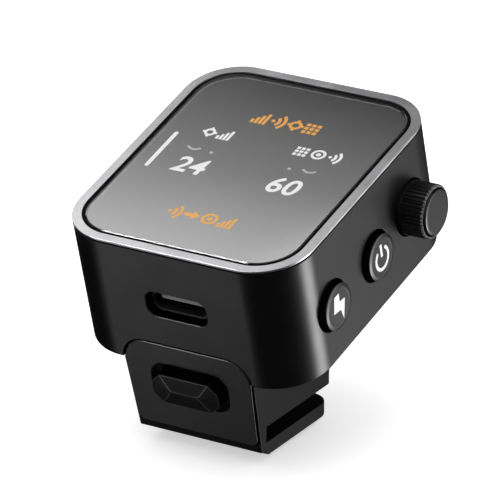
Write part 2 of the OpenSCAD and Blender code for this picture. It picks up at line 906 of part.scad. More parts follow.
module contact_board() {
  color(board_green) difference() {
    translate([-contact_board_half, contact_board_y[0], contact_board_z])
      cube([2 * contact_board_half, contact_board_y[1] - contact_board_y[0], contact_board_t]);
    for (p = contact_pegs)
      translate([p[0], p[1], contact_board_z - 1]) cylinder(h = contact_board_t + 2, r = peg_r + run_gap);
  }
}

module foot_ribbon() {
  color(gold) difference() {
    in_casing() translate([ribbon_x[0], ribbon_y - ribbon_t / 2, -body_h - far])
      cube([ribbon_x[1] - ribbon_x[0], ribbon_t, far + body_h + board_low_z]);
    translate([-far, -far, contact_board_z + contact_board_t - far]) cube([2 * far, 2 * far, far]);
  }
}

// Release slider and lock pin

// Eight-sided outline of the release button, scaled about its middle
module release_outline(w, h, cut) {
  polygon([
    [-w / 2 + cut, -h / 2], [w / 2 - cut, -h / 2], [w / 2, -h / 2 + cut], [w / 2, h / 2 - cut],
    [w / 2 - cut, h / 2], [-w / 2 + cut, h / 2], [-w / 2, h / 2 - cut], [-w / 2, -h / 2 + cut]
  ]);
}

module release_button() {
  ridge_half = 2.1;
  ridge_w = 0.1;
  crown = 0.35;
  color(jet) in_casing() translate([0, 0, release_z]) difference() {
    union() {
      along_y(-release_proud, release_flange_y + eps) release_outline(release_w, release_h, release_cut);
      hull() {
        along_y(-release_proud, -release_proud + eps) release_outline(release_w, release_h, release_cut);
        along_y(-release_proud - crown, -release_proud) square([2 * ridge_half, ridge_w], center = true);
      }
      translate([-flange_half, release_flange_y, -flange_low])
        cube([2 * flange_half, release_flange_t, flange_low + flange_high]);
      translate([-stem_half, release_flange_y, -stem_low])
        cube([2 * stem_half, bar_y - fork_depth - release_flange_y, stem_low + stem_high]);
      translate([-fork_half, bar_y - fork_depth - fork_root, -fork_low])
        cube([2 * fork_half, fork_depth + fork_root + fork_reach, fork_low + fork_high]);
    }
    translate([-fork_gap, bar_y - fork_depth, -far / 2]) cube([2 * fork_gap, far, far]);
    cam_slot();
  }
}

// Sloping slot in which the lock pin's bar rides
module cam_slot() {
  slot_r = bar_r + run_gap;
  length = norm([cam_dy, cam_dz]);
  slope = atan2(cam_dz, cam_dy);
  translate([0, bar_y, 0]) rotate([slope, 0, 0]) {
    along_x(slot_r, -far, far);
    translate([-far, 0, -slot_r]) cube([2 * far, length, 2 * slot_r]);
    translate([0, length, 0]) along_x(slot_r, -far, far);
  }
}

module lock_pin() {
  color(steel) translate([0, pin_y, 0]) {
    translate([0, 0, -pin_lift]) cylinder(h = pin_lift + eps, r = pin_tip_r);
    cylinder(h = collar_z + eps, r = pin_r);
    translate([0, 0, collar_z]) cylinder(h = collar_t, r = collar_r);
    translate([0, 0, collar_z]) cylinder(h = pin_bar_z + bar_cover - collar_z, r = pin_top_r);
    translate([0, 0, pin_bar_z]) along_x(bar_r, -bar_half, bar_half);
  }
}

module lock_spring() {
  z0 = collar_z + collar_t;
  color(steel) translate([0, pin_y, z0 + coil_gap])
    coil(lock_coil_r, lock_wire_r, bridge_z - z0 - 2 * coil_gap, coil_turns);
}

// Shoe contacts

module contact(i) {
  tip = contact_tip_r(i);
  color(gold) translate([contact_at[i][0], contact_at[i][1], 0]) {
    translate([0, 0, -contact_proud]) cylinder(h = contact_proud + contact_seat_z + stop_gap, r = tip);
    translate([0, 0, contact_seat_z + run_gap])
      cylinder(h = contact_body_z - contact_seat_z - run_gap, r = contact_r(i));
    translate([0, 0, contact_body_z - eps]) cylinder(h = contact_rod_l + eps, r = contact_rod_r);
  }
}

module contact_spring(i) {
  radius = contact_r(i) - coil_wire_r - stop_gap;
  color(steel) translate([contact_at[i][0], contact_at[i][1], contact_body_z + coil_gap])
    coil(radius, coil_wire_r, contact_board_z - contact_body_z - 2 * coil_gap, coil_turns);
}

housing();
bezel_frame();
glass_gasket();
cover_glass();
display_panel();
display_ribbon();
main_board();
board_parts();
board_screws();
rf_shield();
antenna();
battery();
battery_plug();
battery_lead();
usb_shell();
usb_tongue();
side_board();
flash_switch();
mode_switch();
encoder_case();
foot_block();
foot_screws();
shoe_foot();
shoe_screws();
foot_cover();
contact_board();
foot_ribbon();
flash_button();
flash_plunger();
mode_button();
mode_plunger();
encoder_plunger();
dial_shaft();
dial_ring();
dial_disc();
release_button();
lock_pin();
lock_spring();
contact(0);  // contact_centre
contact(1);  // contact_data_1
contact(2);  // contact_data_2
contact(3);  // contact_data_3
contact(4);  // contact_data_4
contact_spring(0);  // spring_centre
contact_spring(1);  // spring_data_1
contact_spring(2);  // spring_data_2
contact_spring(3);  // spring_data_3
contact_spring(4);  // spring_data_4
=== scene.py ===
import json
import math

import bpy
from bpy.props import FloatProperty, FloatVectorProperty, IntProperty, PointerProperty, StringProperty
from bpy.types import Operator, Panel, PropertyGroup
from mathutils import Matrix, Vector


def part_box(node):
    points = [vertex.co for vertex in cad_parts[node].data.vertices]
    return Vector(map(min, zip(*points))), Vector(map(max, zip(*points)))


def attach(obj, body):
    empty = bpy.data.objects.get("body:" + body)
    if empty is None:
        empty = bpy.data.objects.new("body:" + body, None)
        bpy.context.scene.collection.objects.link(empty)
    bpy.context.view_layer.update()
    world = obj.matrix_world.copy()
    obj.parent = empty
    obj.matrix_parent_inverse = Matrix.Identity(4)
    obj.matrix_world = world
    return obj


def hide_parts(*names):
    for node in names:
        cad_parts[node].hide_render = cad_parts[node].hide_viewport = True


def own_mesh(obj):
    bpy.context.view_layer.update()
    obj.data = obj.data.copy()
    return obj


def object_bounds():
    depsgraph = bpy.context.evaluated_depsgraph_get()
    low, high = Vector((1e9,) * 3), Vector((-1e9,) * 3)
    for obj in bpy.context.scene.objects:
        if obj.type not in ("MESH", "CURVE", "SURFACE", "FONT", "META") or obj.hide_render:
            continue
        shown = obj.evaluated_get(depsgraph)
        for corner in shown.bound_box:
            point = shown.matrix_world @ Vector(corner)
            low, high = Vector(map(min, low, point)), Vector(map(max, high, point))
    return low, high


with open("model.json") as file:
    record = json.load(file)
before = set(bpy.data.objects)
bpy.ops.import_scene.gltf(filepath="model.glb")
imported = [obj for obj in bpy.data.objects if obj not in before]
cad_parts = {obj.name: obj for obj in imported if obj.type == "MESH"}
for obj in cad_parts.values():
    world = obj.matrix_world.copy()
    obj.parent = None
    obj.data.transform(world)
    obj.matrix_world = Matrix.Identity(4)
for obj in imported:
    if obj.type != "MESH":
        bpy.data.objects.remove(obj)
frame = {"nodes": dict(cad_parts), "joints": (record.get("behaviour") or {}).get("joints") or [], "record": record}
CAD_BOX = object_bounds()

bl_info = {
    "name": "Wireless flash trigger",
    "version": (1, 0, 0),
    "blender": (4, 5, 0),
    "location": "3D View > Sidebar > Flash Trigger",
    "description": "Builds the visible pieces of a wireless flash trigger around its frame",
    "category": "Object",
}

# The casing leans back on its level foot. Its own frame has x across, y back from its front
# and z up from the rim's top. CASING turns that frame into the object's.

MM = 0.001
SMALL = 0.001 * MM
CORNER_STEPS = 24
CONE_LEAN = math.radians(18)
RELEASE_AXIS = next(j["axis"] for j in frame["joints"] if j["name"] == "release_press")
LEAN = Matrix.Rotation(math.atan2(RELEASE_AXIS[2], RELEASE_AXIS[1]), 4, "X")


def turned_box(node, turn):
    """Lowest and highest corner of a CAD node, in a turned frame"""
    points = [turn @ vertex.co for vertex in frame["nodes"][node].data.vertices]
    return [Vector([pick(point[i] for point in points) for i in range(3)]) for pick in (min, max)]


CASING = LEAN @ Matrix.Translation(
    (0, turned_box("housing", LEAN.inverted())[0].y, turned_box("bezel_frame", LEAN.inverted())[1].z))
LEVEL = CASING.inverted()


def casing_box(node):
    """Lowest and highest corner of a CAD node, in the casing's frame"""
    return turned_box(node, LEVEL)


def middle(node):
    """Middle of a CAD node, in the casing's frame"""
    low, high = casing_box(node)
    return (low + high) / 2


def radius_of(node):
    """Radius of a CAD node that is round about an axis out of the right wall"""
    return casing_box(node)[1].z - middle(node).z


SHELL_LOW, SHELL_HIGH = casing_box("housing")
RIM_LOW = casing_box("bezel_frame")[0]
GLASS_LOW, GLASS_HIGH = casing_box("cover_glass")
COVER_LOW, COVER_HIGH = casing_box("foot_cover")
SIDE_X = SHELL_HIGH.x
SOLE_Z = SHELL_LOW.z


# Sizes and colours that a user would change


def length(name, description, millimetres):
    """A length property whose default is given in millimetres"""
    return FloatProperty(name=name, description=description, default=millimetres * MM, min=0,
                         unit="LENGTH", subtype="DISTANCE", precision=5)


def hexadecimal(name, description, value):
    """A colour property that holds an sRGB hex value"""
    return StringProperty(name=name, description=description, default=value, maxlen=7)


class CasingSettings(PropertyGroup):
    """Sizes and colour of the casing's shell"""

    corner_radius: length("Corner radius", "Radius of the casing's four upright corners", 7.45)
    wall: length("Wall", "Thickness of the casing's walls and floor", 1.5)
    lip: length("Lip", "Thickness of the wall at its top, where the rim's skirt goes in", 1.0)
    sole_ease: length("Sole edge", "Rounding of the casing's lower edge", 0.28)
    edge_ease: length("Edge ease", "Rounding of every other moulded edge", 0.09)
    colour: hexadecimal("Colour", "Colour of the moulded plastic", "#060607")


class ScreenSettings(PropertyGroup):
    """Sizes and colours of the rim, the glass, its seal and the display"""

    rim_width: length("Rim width", "Width of the metal rim seen from above", 1.33)
    rim_edge: length("Rim edge", "Height of the rim's visible edge", 0.34)
    rim_edge_ease: length("Rim edge ease", "Rounding of the rim's outer edge", 0.05)
    seam_inset: length("Seam inset", "How far the shadow line under the rim is set in", 0.35)
    ledge_inset: length("Ledge inset", "Distance from the outline to the opening under the glass", 2.45)
    seal_drop: length("Seal drop", "How far the seal lies below the rim's top", 0.22)
    seal_squeeze: length("Seal squeeze", "How far the seal is squeezed against the side of the glass", 0.02)
    glass_chamfer: length("Glass chamfer", "Width of the polished chamfer round the glass", 0.14)
    rim_colour: hexadecimal("Rim colour", "Colour of the anodised rim", "#c6c6c8")
    # The film's three grey glows are a painted reflection of a soft box in the glass, brightest at the near edge
    glow_near: hexadecimal("Near painted reflection", "Painted reflection at the near edge", "#b2b2b2")
    glow_middle: hexadecimal("Middle painted reflection", "Painted reflection in the middle", "#6b6b6b")
    glow_far: hexadecimal("Far painted reflection", "Painted reflection at the far edge", "#262626")
    glow_white: hexadecimal("White glow", "Colour of the lit numbers", "#ffffff")
    glow_amber: hexadecimal("Amber glow", "Colour of the lit amber pictograms", "#f5ab3c")
    left_number: IntProperty(name="Left number", description="Plain number shown on the left",
                             default=24, min=10, max=99)
    right_number: IntProperty(name="Right number", description="Plain number shown on the right",
                              default=60, min=10, max=99)


class ControlSettings(PropertyGroup):
    """Sizes and colours of the buttons, the dial and the charging port"""

    cap_radius: length("Cap radius", "Radius of a push button's cap", 3.29)
    cap_chamfer: length("Cap edge", "Rounding of the edge of a cap's face", 0.3)
    cap_cone: length("Cap cone", "Height of the shallow cone round a cap's face", 0.1)
    cap_dish: length("Cap dish", "Depth of the shallow dish in a cap's face", 0.05)
    cap_gap: length("Cap gap", "Gap round a cap in its hole", 0.39)
    flange: length("Flange", "Thickness of the flange that holds a cap in the casing", 0.75)
    dial_gap: length("Dial gap", "Gap round the dial in its hole", 0.26)
    knurl_start: length("Knurl start", "Distance from the side wall to the knurl", 0.45)
    knurl_depth: length("Knurl depth", "Depth of the knurl's grooves", 0.2)
    knurl_teeth: IntProperty(name="Teeth", description="Number of teeth in the knurl", default=44,
                             min=18, max=60)
    cup_depth: length("Cup depth", "Depth of the cup that the end disc sits in", 1.3)
    disc_gap: length("Disc gap", "Width of the groove round the end disc", 0.25)
    port_width: length("Port width", "Width of the opening for the charging plug", 9.28)
    port_height: length("Port height", "Height of the opening for the charging plug", 4.0)
    port_corner: length("Port corner", "Corner radius of the opening", 1.42)
    port_ease: length("Port ease", "Rounding of the opening's edge", 0.16)
    cap_colour: hexadecimal("Cap colour", "Colour of the buttons and the end disc", "#0d0d0e")
    print_colour: hexadecimal("Print colour", "Colour of the printed signs", "#f4f4f4")


class FootSettings(PropertyGroup):
    """Sizes and colour of the foot's cover and the release button"""

    tab_radius: length("Tab radius", "Radius of the cover's round tab", 3.6)
    low_radius: length("Low radius", "Radius of the cover's lower corners", 1.0)
    low_half: length("Low half width", "Half width of the cover at its lower end", 9.35)
    cover_thickness: length("Cover thickness", "Thickness of the foot cover", 1.1)
    cover_seam: length("Cover seam", "Width of the seam round the foot cover", 0.25)
    cover_ease: length("Cover ease", "Rounding of the foot cover's upper edge", 0.18)
    release_width: length("Release width", "Width of the release button", 10.33)
    release_height: length("Release height", "Height of the release button", 4.55)
    release_cut: length("Release cut", "Size of the release button's cut corners", 1.35)
    release_gap: length("Release gap", "Gap round the release button", 0.6)
    release_drop: length("Release drop", "Distance of the release button below the sole", 2.77)
    recess_ease: length("Recess ease", "Rounding of the recess round the release button", 0.32)
    release_colour: hexadecimal("Release colour", "Colour of the release button", "#08080a")


class StageSettings(PropertyGroup):
    """Place and lens of the camera"""

    camera_place: FloatVectorProperty(
        name="Camera place", description="Where the camera stands", size=3, unit="LENGTH",
        subtype="TRANSLATION", default=(0.3009422, -0.4955132, 0.2622115))
    camera_turn: FloatVectorProperty(
        name="Camera turn", description="How the camera is turned", size=3, subtype="EULER",
        default=(math.radians(67.73635), math.radians(0.20875), math.radians(31.04106)))
    focal_length: FloatProperty(name="Focal length", description="Focal length in millimetres",
                                default=336.43, min=50, subtype="DISTANCE_CAMERA")


class TriggerSettings(PropertyGroup):
    """All settings of the trigger, group by group"""

    casing: PointerProperty(type=CasingSettings, name="Casing", description="Casing of the trigger")
    screen: PointerProperty(type=ScreenSettings, name="Screen", description="Rim, glass and display")
    control: PointerProperty(type=ControlSettings, name="Controls", description="Buttons, dial and port")
    foot: PointerProperty(type=FootSettings, name="Foot", description="Foot, cover and release")
    stage: PointerProperty(type=StageSettings, name="Stage", description="Camera")


def settings():
    """The values that the panel shows"""
    return bpy.context.scene.flash_trigger


# Modelling


def deselect_all():
    """Clears the selection, because an operator acts on all of it"""
    for other in bpy.context.selected_objects:
        other.select_set(False)


def take(obj):
    """Makes one object the only selected and the active one"""
    deselect_all()
    obj.select_set(True)
    bpy.context.view_layer.objects.active = obj
    return obj


def apply_place(obj, place=None):
    """Applies an object's place, or a given one, to its mesh"""
    take(obj)
    if place is not None:
        obj.matrix_world = place
    bpy.ops.object.transform_apply(location=True, rotation=True, scale=True)
    return obj


def edit(obj, kind, test, work):
    """Selects the vertices, edges or faces that pass a test, and works on them in edit mode"""
    take(obj)
    bpy.ops.object.mode_set(mode="EDIT")
    bpy.ops.mesh.select_mode(type=kind)
    bpy.ops.mesh.select_all(action="DESELECT")
    bpy.ops.object.mode_set(mode="OBJECT")
    points = obj.data.vertices
    if kind == "VERT":
        for point in points:
            point.select = test(point.co)
    elif kind == "EDGE":
        for line in obj.data.edges:
            line.select = test(*(points[i].co for i in line.vertices))
    else:
        for face in obj.data.polygons:
            face.select = test(face.center, face.normal)
    bpy.ops.object.mode_set(mode="EDIT")
    work()
    bpy.ops.object.mode_set(mode="OBJECT")
    return obj


def everything(*_):
    """Test that every vertex, edge or face passes"""
    return True


def tidy_mesh():
    """Joins doubled vertices, clears needless edges and turns the faces outwards, in edit mode"""
    bpy.ops.mesh.remove_doubles(threshold=SMALL)
    bpy.ops.mesh.dissolve_limited(angle_limit=math.radians(0.5))
    bpy.ops.mesh.normals_make_consistent(inside=False)


def block(name, low, high):
    """Box between two corners"""
    deselect_all()
    low, high = Vector(low), Vector(high)
    bpy.ops.mesh.primitive_cube_add(size=1, location=(low + high) / 2, scale=high - low)
    obj = bpy.context.object
    obj.name = name
    return apply_place(obj)


def bevel_edges(obj, test, width, steps):
    """Bevels the edges whose two ends pass a test"""
    return edit(obj, "EDGE", test,
                lambda: bpy.ops.mesh.bevel(offset=width, segments=steps, affect="EDGES"))


def round_edges(obj, axis, radius, steps=CORNER_STEPS):
    """Rounds the four long edges of a box that run along an axis"""
    def along(a, b):
        way = b - a
        return abs(way[axis]) > SMALL and way.length - abs(way[axis]) < SMALL
    return bevel_edges(obj, along, radius, steps)


def slab(name, inset, low_z, high_z):
    """Solid of the casing's outline, set in all round, between two levels"""
    low = (SHELL_LOW.x + inset, SHELL_LOW.y + inset, low_z)
    high = (SHELL_HIGH.x - inset, SHELL_HIGH.y - inset, high_z)
    return round_edges(block(name, low, high), 2, settings().casing.corner_radius - inset)


def combine(obj, others, operation="DIFFERENCE"):
    """Cuts other solids out of a piece, or unites them with it"""
    for other in others:
        take(obj)
        step = obj.modifiers.new("combine", "BOOLEAN")
        step.operation = operation
        step.solver = "EXACT"
        step.object = other
        bpy.ops.object.modifier_apply(modifier=step.name)
        bpy.data.objects.remove(other)
    return obj


def resized(share, height):
    """Work that resizes the selection about the z axis"""
    return lambda: bpy.ops.transform.resize(value=(share, share, 1), center_override=(0, 0, height))


def raised(*stations):
    """Work that extrudes the selected face and resizes it, from each height and radius to the next"""
    def work():
        for (last_height, last_radius), (height, radius) in zip(stations, stations[1:]):
            bpy.ops.mesh.extrude_region_move(TRANSFORM_OT_translate={"value": (0, 0, height - last_height)})
            resized(radius / last_radius, height)()
    return work


def face_outwards(obj):
    """Turns every face of a piece outwards"""
    return edit(obj, "FACE", everything, lambda: bpy.ops.mesh.normals_make_consistent(inside=False))


def turned(name, stations, segments=72):
    """Solid turned about Z: a disc that is extruded and resized station by station"""
    deselect_all()
    height, radius = stations[0]
    bpy.ops.mesh.primitive_circle_add(vertices=segments, radius=radius, fill_type="NGON",
                                      location=(0, 0, height))
    obj = apply_place(bpy.context.object)
    obj.name = name
    return face_outwards(edit(obj, "FACE", everything, raised(*stations)))


def rounded(height, radius, size, steps=5):
    """Stations of a rounded outer edge that ends at a height"""
    turns = [math.radians(90 * i / steps) for i in range(steps + 1)]
    return [(height - size + size * math.sin(t), radius - size + size * math.cos(t)) for t in turns]


def drawn(name, outlines, low, high):
    """Flat shape of closed outlines in x and y, raised between two heights; an inner one is a hole"""
    curve = bpy.data.curves.new(name, "CURVE")
    curve.dimensions = "2D"
    curve.fill_mode = "BOTH"
    curve.extrude = (high - low) / 2
    for outline in outlines:
        line = curve.splines.new("POLY")
        line.points.add(len(outline) - 1)
        for point, (x, y) in zip(line.points, outline):
            point.co = (x, y, 0, 1)
        line.use_cyclic_u = True
    return to_solid(name, curve, Matrix.Translation((0, 0, (low + high) / 2)))


def to_solid(name, curve, place):
    """Turns a filled curve or text into a closed mesh at its place"""
    deselect_all()
    obj = bpy.data.objects.new(name, curve)
    bpy.context.scene.collection.objects.link(obj)
    take(obj)
    bpy.ops.object.convert(target="MESH")
    obj = bpy.context.object
    apply_place(obj, place)
    return edit(obj, "FACE", everything, tidy_mesh)


def joined(name, parts):
    """One piece from several separate solids"""
    take(parts[0])
    for part in parts[1:]:
        part.select_set(True)
    bpy.ops.object.join()
    obj = bpy.context.object
    obj.name = name
    return obj


def merged_copy(node, name):
    """Copy of a CAD node's mesh, with its loose triangles joined into clean faces"""
    obj = bpy.data.objects.new(name, frame["nodes"][node].data.copy())
    bpy.context.scene.collection.objects.link(obj)
    take(obj)
    bpy.ops.mesh.customdata_custom_splitnormals_clear()
    return edit(obj, "FACE", everything, tidy_mesh)


def ease(obj, width, steps=2, angle=35):
    """Rounds every sharp edge of a piece a little, as a mould or a tumbler leaves it"""
    take(obj)
    rounding = obj.modifiers.new("ease", "BEVEL")
    rounding.width = width
    rounding.segments = steps
    rounding.limit_method = "ANGLE"
    rounding.angle_limit = math.radians(angle)
    rounding.use_clamp_overlap = False
    bpy.ops.object.modifier_apply(modifier=rounding.name)
    return obj


def finish(obj, body, slot, replaced=(), look=None, smooth=30, place=CASING, others=()):
    """Smooths a piece, puts it in the object's frame, gives it its material and hands it to its body.
    Each of the others is a finish and a test of a face's centre and normal in the piece's own frame."""
    chosen = [(other, [face.index for face in obj.data.polygons if test(face.center, face.normal)])
              for other, test in others]
    apply_place(obj, place)
    bpy.ops.object.shade_smooth_by_angle(angle=math.radians(smooth))
    flatten = obj.modifiers.new("flat faces", "WEIGHTED_NORMAL")
    flatten.keep_sharp = True
    bpy.ops.object.modifier_apply(modifier=flatten.name)
    obj.data.materials.clear()
    obj.data.materials.append(paint(look or slot))
    for other, indices in chosen:
        obj.data.materials.append(paint(other))
        for index in indices:
            obj.data.polygons[index].material_index = len(obj.data.materials) - 1
    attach(obj, body)
    if replaced:
        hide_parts(*replaced)
    return obj


# Outlines


def arc(x, y, radius, start, end, steps=10):
    """Points of an arc, in degrees"""
    turns = [math.radians(start + (end - start) * i / steps) for i in range(steps + 1)]
    return [(x + radius * math.cos(t), y + radius * math.sin(t)) for t in turns]


def disc(x, y, radius):
    """Outline of a disc"""
    return arc(x, y, radius, 0, 360 * 31 / 32, 31)


def bar(x0, y0, x1, y1):
    """Outline of an upright bar"""
    return [(x0, y0), (x1, y0), (x1, y1), (x0, y1)]


def band(x, y, radius, width, start, end):
    """Outline of a curved band"""
    outer = arc(x, y, radius + width / 2, start, end, 16)
    inner = arc(x, y, radius - width / 2, end, start, 16)
    return outer + inner


def millimetres(outlines):
    """Outlines in millimetres turned into metres"""
    return [[(x * MM, y * MM) for x, y in outline] for outline in outlines]


def cover_outline(foot, grow=0.0):
    """Outline of the foot cover in x and z: a round tab above, small round corners below"""
    half = COVER_HIGH.x + grow
    low_half = foot.low_half + grow
    top = COVER_HIGH.z + grow
    low = COVER_LOW.z - grow
    tab = foot.tab_radius + grow
    small = foot.low_radius + grow
    return (arc(half - tab, top - tab, tab, 0, 90, 16) + arc(tab - half, top - tab, tab, 90, 180, 16)
            + arc(small - low_half, low + small, small, 180, 270, 6)
            + arc(low_half - small, low + small, small, 270, 360, 6))


def recess_outline(foot):
    """Round-cornered outline of the opening round the release button in x and z"""
    w = foot.release_width / 2 + foot.release_gap
    h = foot.release_height / 2 + foot.release_gap
    r = foot.release_cut + foot.release_gap
    z = SOLE_Z - foot.release_drop
    return (arc(w - r, z + h - r, r, 0, 90, 8) + arc(r - w, z + h - r, r, 90, 180, 8)
            + arc(r - w, z + r - h, r, 180, 270, 8) + arc(w - r, z + r - h, r, 270, 360, 8))


def front_drawn(name, outline, low, high):
    """Shape of an outline in x and z, raised forwards between two depths"""
    forwards = Matrix(((1, 0, 0, 0), (0, 0, -1, 0), (0, 1, 0, 0), (0, 0, 0, 1)))
    return apply_place(drawn(name, [outline], low, high), forwards)


def side(node):
    """Turns a shape so that its own x runs back, its y up and its z out of the right wall on a node's axis"""
    axis = middle(node)
    return Matrix(((0, 0, 1, 0), (1, 0, 0, axis.y), (0, 1, 0, axis.z), (0, 0, 0, 1)))


# Materials

MATERIALS = {}


def linear(value):
    """Linear colour of an sRGB hex value"""
    shares = [int(value[i:i + 2], 16) / 255 for i in (1, 3, 5)]
    return tuple(s / 12.92 if s <= 0.04045 else ((s + 0.055) / 1.055) ** 2.4 for s in shares) + (1.0,)


def put(tree, kind, sets=None, links=None):
    """Adds a node with its settings and the outputs that feed its sockets"""
    node = tree.nodes.new("ShaderNode" + kind)
    for key, value in (sets or {}).items():
        if isinstance(key, int) or key in node.inputs:
            node.inputs[key].default_value = value
        else:
            setattr(node, key, value)
    for key, source in (links or {}).items():
        tree.links.new(source, node.inputs[key])
    return node


def empty_tree(owner):
    """Node tree of a material or a world, emptied"""
    owner.use_nodes = True
    owner.node_tree.nodes.clear()
    return owner.node_tree


def surface(name, sets, look):
    """Material with one shader, whose pattern is drawn by a function of the tree, the place and the shader"""
    material = bpy.data.materials.new(name)
    tree = empty_tree(material)
    shader = put(tree, "BsdfPrincipled", sets)
    put(tree, "OutputMaterial", links={"Surface": shader.outputs["BSDF"]})
    look(tree, put(tree, "TexCoord").outputs["Object"], shader)
    return material


def grained(size, depth, shades, roughness):
    """Pattern of a fine grain of a size and a depth in millimetres, over patches a few millimetres wide.
    The colour varies between two hex shades, and the roughness over a span"""
    patch_size = 6

    def look(tree, place, shader):
        grain = put(tree, "TexNoise", {"Scale": 1 / (size * MM), "Detail": 2.0, "Roughness": 0.6},
                    {"Vector": place}).outputs["Fac"]
        patches = put(tree, "TexNoise", {"Scale": 1 / (patch_size * MM), "Detail": 3.0},
                      {"Vector": place}).outputs["Fac"]
        mixed = put(tree, "Math", {"operation": "MULTIPLY_ADD", 1: 0.65}, {0: grain, 2: patches})
        ramp = put(tree, "ValToRGB", links={"Fac": put(
            tree, "MapRange", {"From Min": 0.55, "From Max": 1.15}, {"Value": mixed.outputs[0]}).outputs[0]})
        ramp.color_ramp.elements[0].color = linear(shades[0])
        ramp.color_ramp.elements[1].color = linear(shades[1])
        tree.links.new(ramp.outputs["Color"], shader.inputs["Base Color"])
        bump = put(tree, "Bump", {"Strength": 1.0, "Distance": depth * MM}, {"Height": grain})
        tree.links.new(bump.outputs["Normal"], shader.inputs["Normal"])
        span = put(tree, "MapRange", {"From Min": 0.3, "From Max": 0.7, "To Min": roughness[0],
                                      "To Max": roughness[1]}, {"Value": patches})
        tree.links.new(span.outputs[0], shader.inputs["Roughness"])
    return look


def shade(value, share):
    """Hex value made lighter or darker by a share"""
    parts = [min(255, max(0, round(int(value[i:i + 2], 16) * share))) for i in (1, 3, 5)]
    return "#" + "".join(f"{part:02x}" for part in parts)


def tones(value, dark, light):
    """Darker and lighter tone of a hex value, between which a pattern varies"""
    return shade(value, dark), shade(value, light)


def spark_eroded_abs():
    """ABS moulded in a spark-eroded tool: satin black, with a faint even grain that breaks up the gloss.
    The real grain is about 0.05 mm and is drawn at 0.22 mm, so that it shows."""
    return surface("spark_eroded_black_abs", {"IOR": 1.52},
                   grained(0.22, 0.0012, tones(settings().casing.colour, 0.92, 1.1), (0.3, 0.35)))


def unpolished_abs():
    """ABS where the tool is left rough, inside holes and on the sides of caps: painted darker than the casing as
    shade, and without gloss
    """
    return surface("unpolished_black_abs_painted_shade", {"IOR": 1.52, "Specular IOR Level": 0.0},
                   grained(0.2, 0.004, ("#030303", "#060606"), (0.7, 0.8)))


def filled_nylon():
    """Glass-filled nylon of the foot, moulded: tough, and duller than the casing"""
    return surface("glass_filled_black_nylon", {"IOR": 1.53, "Specular IOR Level": 0.08},
                   grained(0.25, 0.003, ("#0a0a0b", "#0f0f10"), (0.3, 0.36)))


def bead_blasted_aluminium():
    """Anodised aluminium, bead blasted first: a light grey metal with a fine bright sparkle.
    The bead marks are about 0.08 mm and are drawn at 0.2 mm."""
    return surface("bead_blasted_anodised_aluminium", {"Metallic": 1.0},
                   grained(0.2, 0.004, tones(settings().screen.rim_colour, 0.93, 1.06), (0.34, 0.42)))


def moulded_silicone():
    """Moulded silicone rubber: dull black that swallows light in the gap round the glass"""
    return surface("moulded_black_silicone", {"IOR": 1.41, "Specular IOR Level": 0.05},
                   grained(0.3, 0.003, ("#050505", "#080808"), (0.6, 0.7)))


def polished_glass():
    """Polished cover glass: clear, with a sharp reflection over a faint oily unevenness"""
    def look(tree, place, shader):
        smear = put(tree, "TexNoise", {"Scale": 1 / (9 * MM), "Detail": 2.0},
                    {"Vector": place}).outputs["Fac"]
        span = put(tree, "MapRange", {"To Min": 0.02, "To Max": 0.04}, {"Value": smear})
        tree.links.new(span.outputs[0], shader.inputs["Roughness"])
    return surface("polished_cover_glass", {"IOR": 1.52, "Transmission Weight": 1.0,
                                            "Base Color": linear("#f6f6f6")}, look)


def display_glass():
    """Display module: black laminated glass with a fine even lattice, drawn at 0.2 mm"""
    def look(tree, place, shader):
        cells = put(tree, "TexBrick", {"Scale": 1 / (0.4 * MM), "Mortar Size": 0.04, "offset": 0.0,
                                       "Color1": linear("#050505"), "Color2": linear("#060606"),
                                       "Mortar": linear("#040404"), "Brick Width": 0.5,
                                       "Row Height": 0.5}, {"Vector": place})
        tree.links.new(cells.outputs["Color"], shader.inputs["Base Color"])
    return surface("laminated_display_black", {"Roughness": 0.5, "Specular IOR Level": 0.1}, look)


def display_glow():
    """Film under the glass that glows grey as a painted reflection of a soft box in the glass: bright at the near
    edge, fading to dark at the far edge
    """
    screen = settings().screen
    near, far = (CASING @ Vector((0, y, 0)) for y in (GLASS_LOW.y, GLASS_HIGH.y))

    def look(tree, place, shader):
        along = put(tree, "MapRange", {"From Min": near.y, "From Max": far.y}, {
            "Value": put(tree, "SeparateXYZ", links={"Vector": place}).outputs["Y"]})
        cloud = put(tree, "TexNoise", {"Scale": 1 / (12 * MM), "Detail": 1.0}, {"Vector": place})
        mixed = put(tree, "Math", {"operation": "MULTIPLY_ADD", 1: 0.06},
                    {0: cloud.outputs["Fac"], 2: along.outputs[0]})
        ramp = put(tree, "ValToRGB", links={"Fac": mixed.outputs[0]})
        ramp.color_ramp.elements[0].color = linear(screen.glow_near)
        ramp.color_ramp.elements[1].color = linear(screen.glow_far)
        ramp.color_ramp.elements.new(0.5).color = linear(screen.glow_middle)
        tree.links.new(ramp.outputs["Color"], shader.inputs["Emission Color"])
    return surface("diffuser_painted_reflection", {"Base Color": linear("#000000"), "Roughness": 0.8,
                                            "Specular IOR Level": 0.0, "Emission Strength": 1.0}, look)


def lit(name, value, strength):
    """Lit part of the display: its own light, with the faint unevenness of a backlight"""
    def look(tree, place, shader):
        cloud = put(tree, "TexNoise", {"Scale": 1 / (3 * MM), "Detail": 1.0},
                    {"Vector": place}).outputs["Fac"]
        ramp = put(tree, "ValToRGB", links={"Fac": cloud})
        ramp.color_ramp.elements[0].color = linear(shade(value, 0.95))
        ramp.color_ramp.elements[1].color = linear(value)
        tree.links.new(ramp.outputs["Color"], shader.inputs["Emission Color"])
    return surface(name, {"Base Color": linear("#000000"), "Roughness": 0.6,
                          "Specular IOR Level": 0.0, "Emission Strength": strength}, look)


def lit_white():
    """Backlit display showing white"""
    return lit("backlit_white", settings().screen.glow_white, 1.0)


def lit_amber():
    """Backlit display showing amber"""
    return lit("backlit_amber", settings().screen.glow_amber, 1.0)


def lit_dim():
    """Backlit display showing numbers that fade at the edge of their wheel"""
    return lit("backlit_dim_white", "#d0d0d0", 0.8)


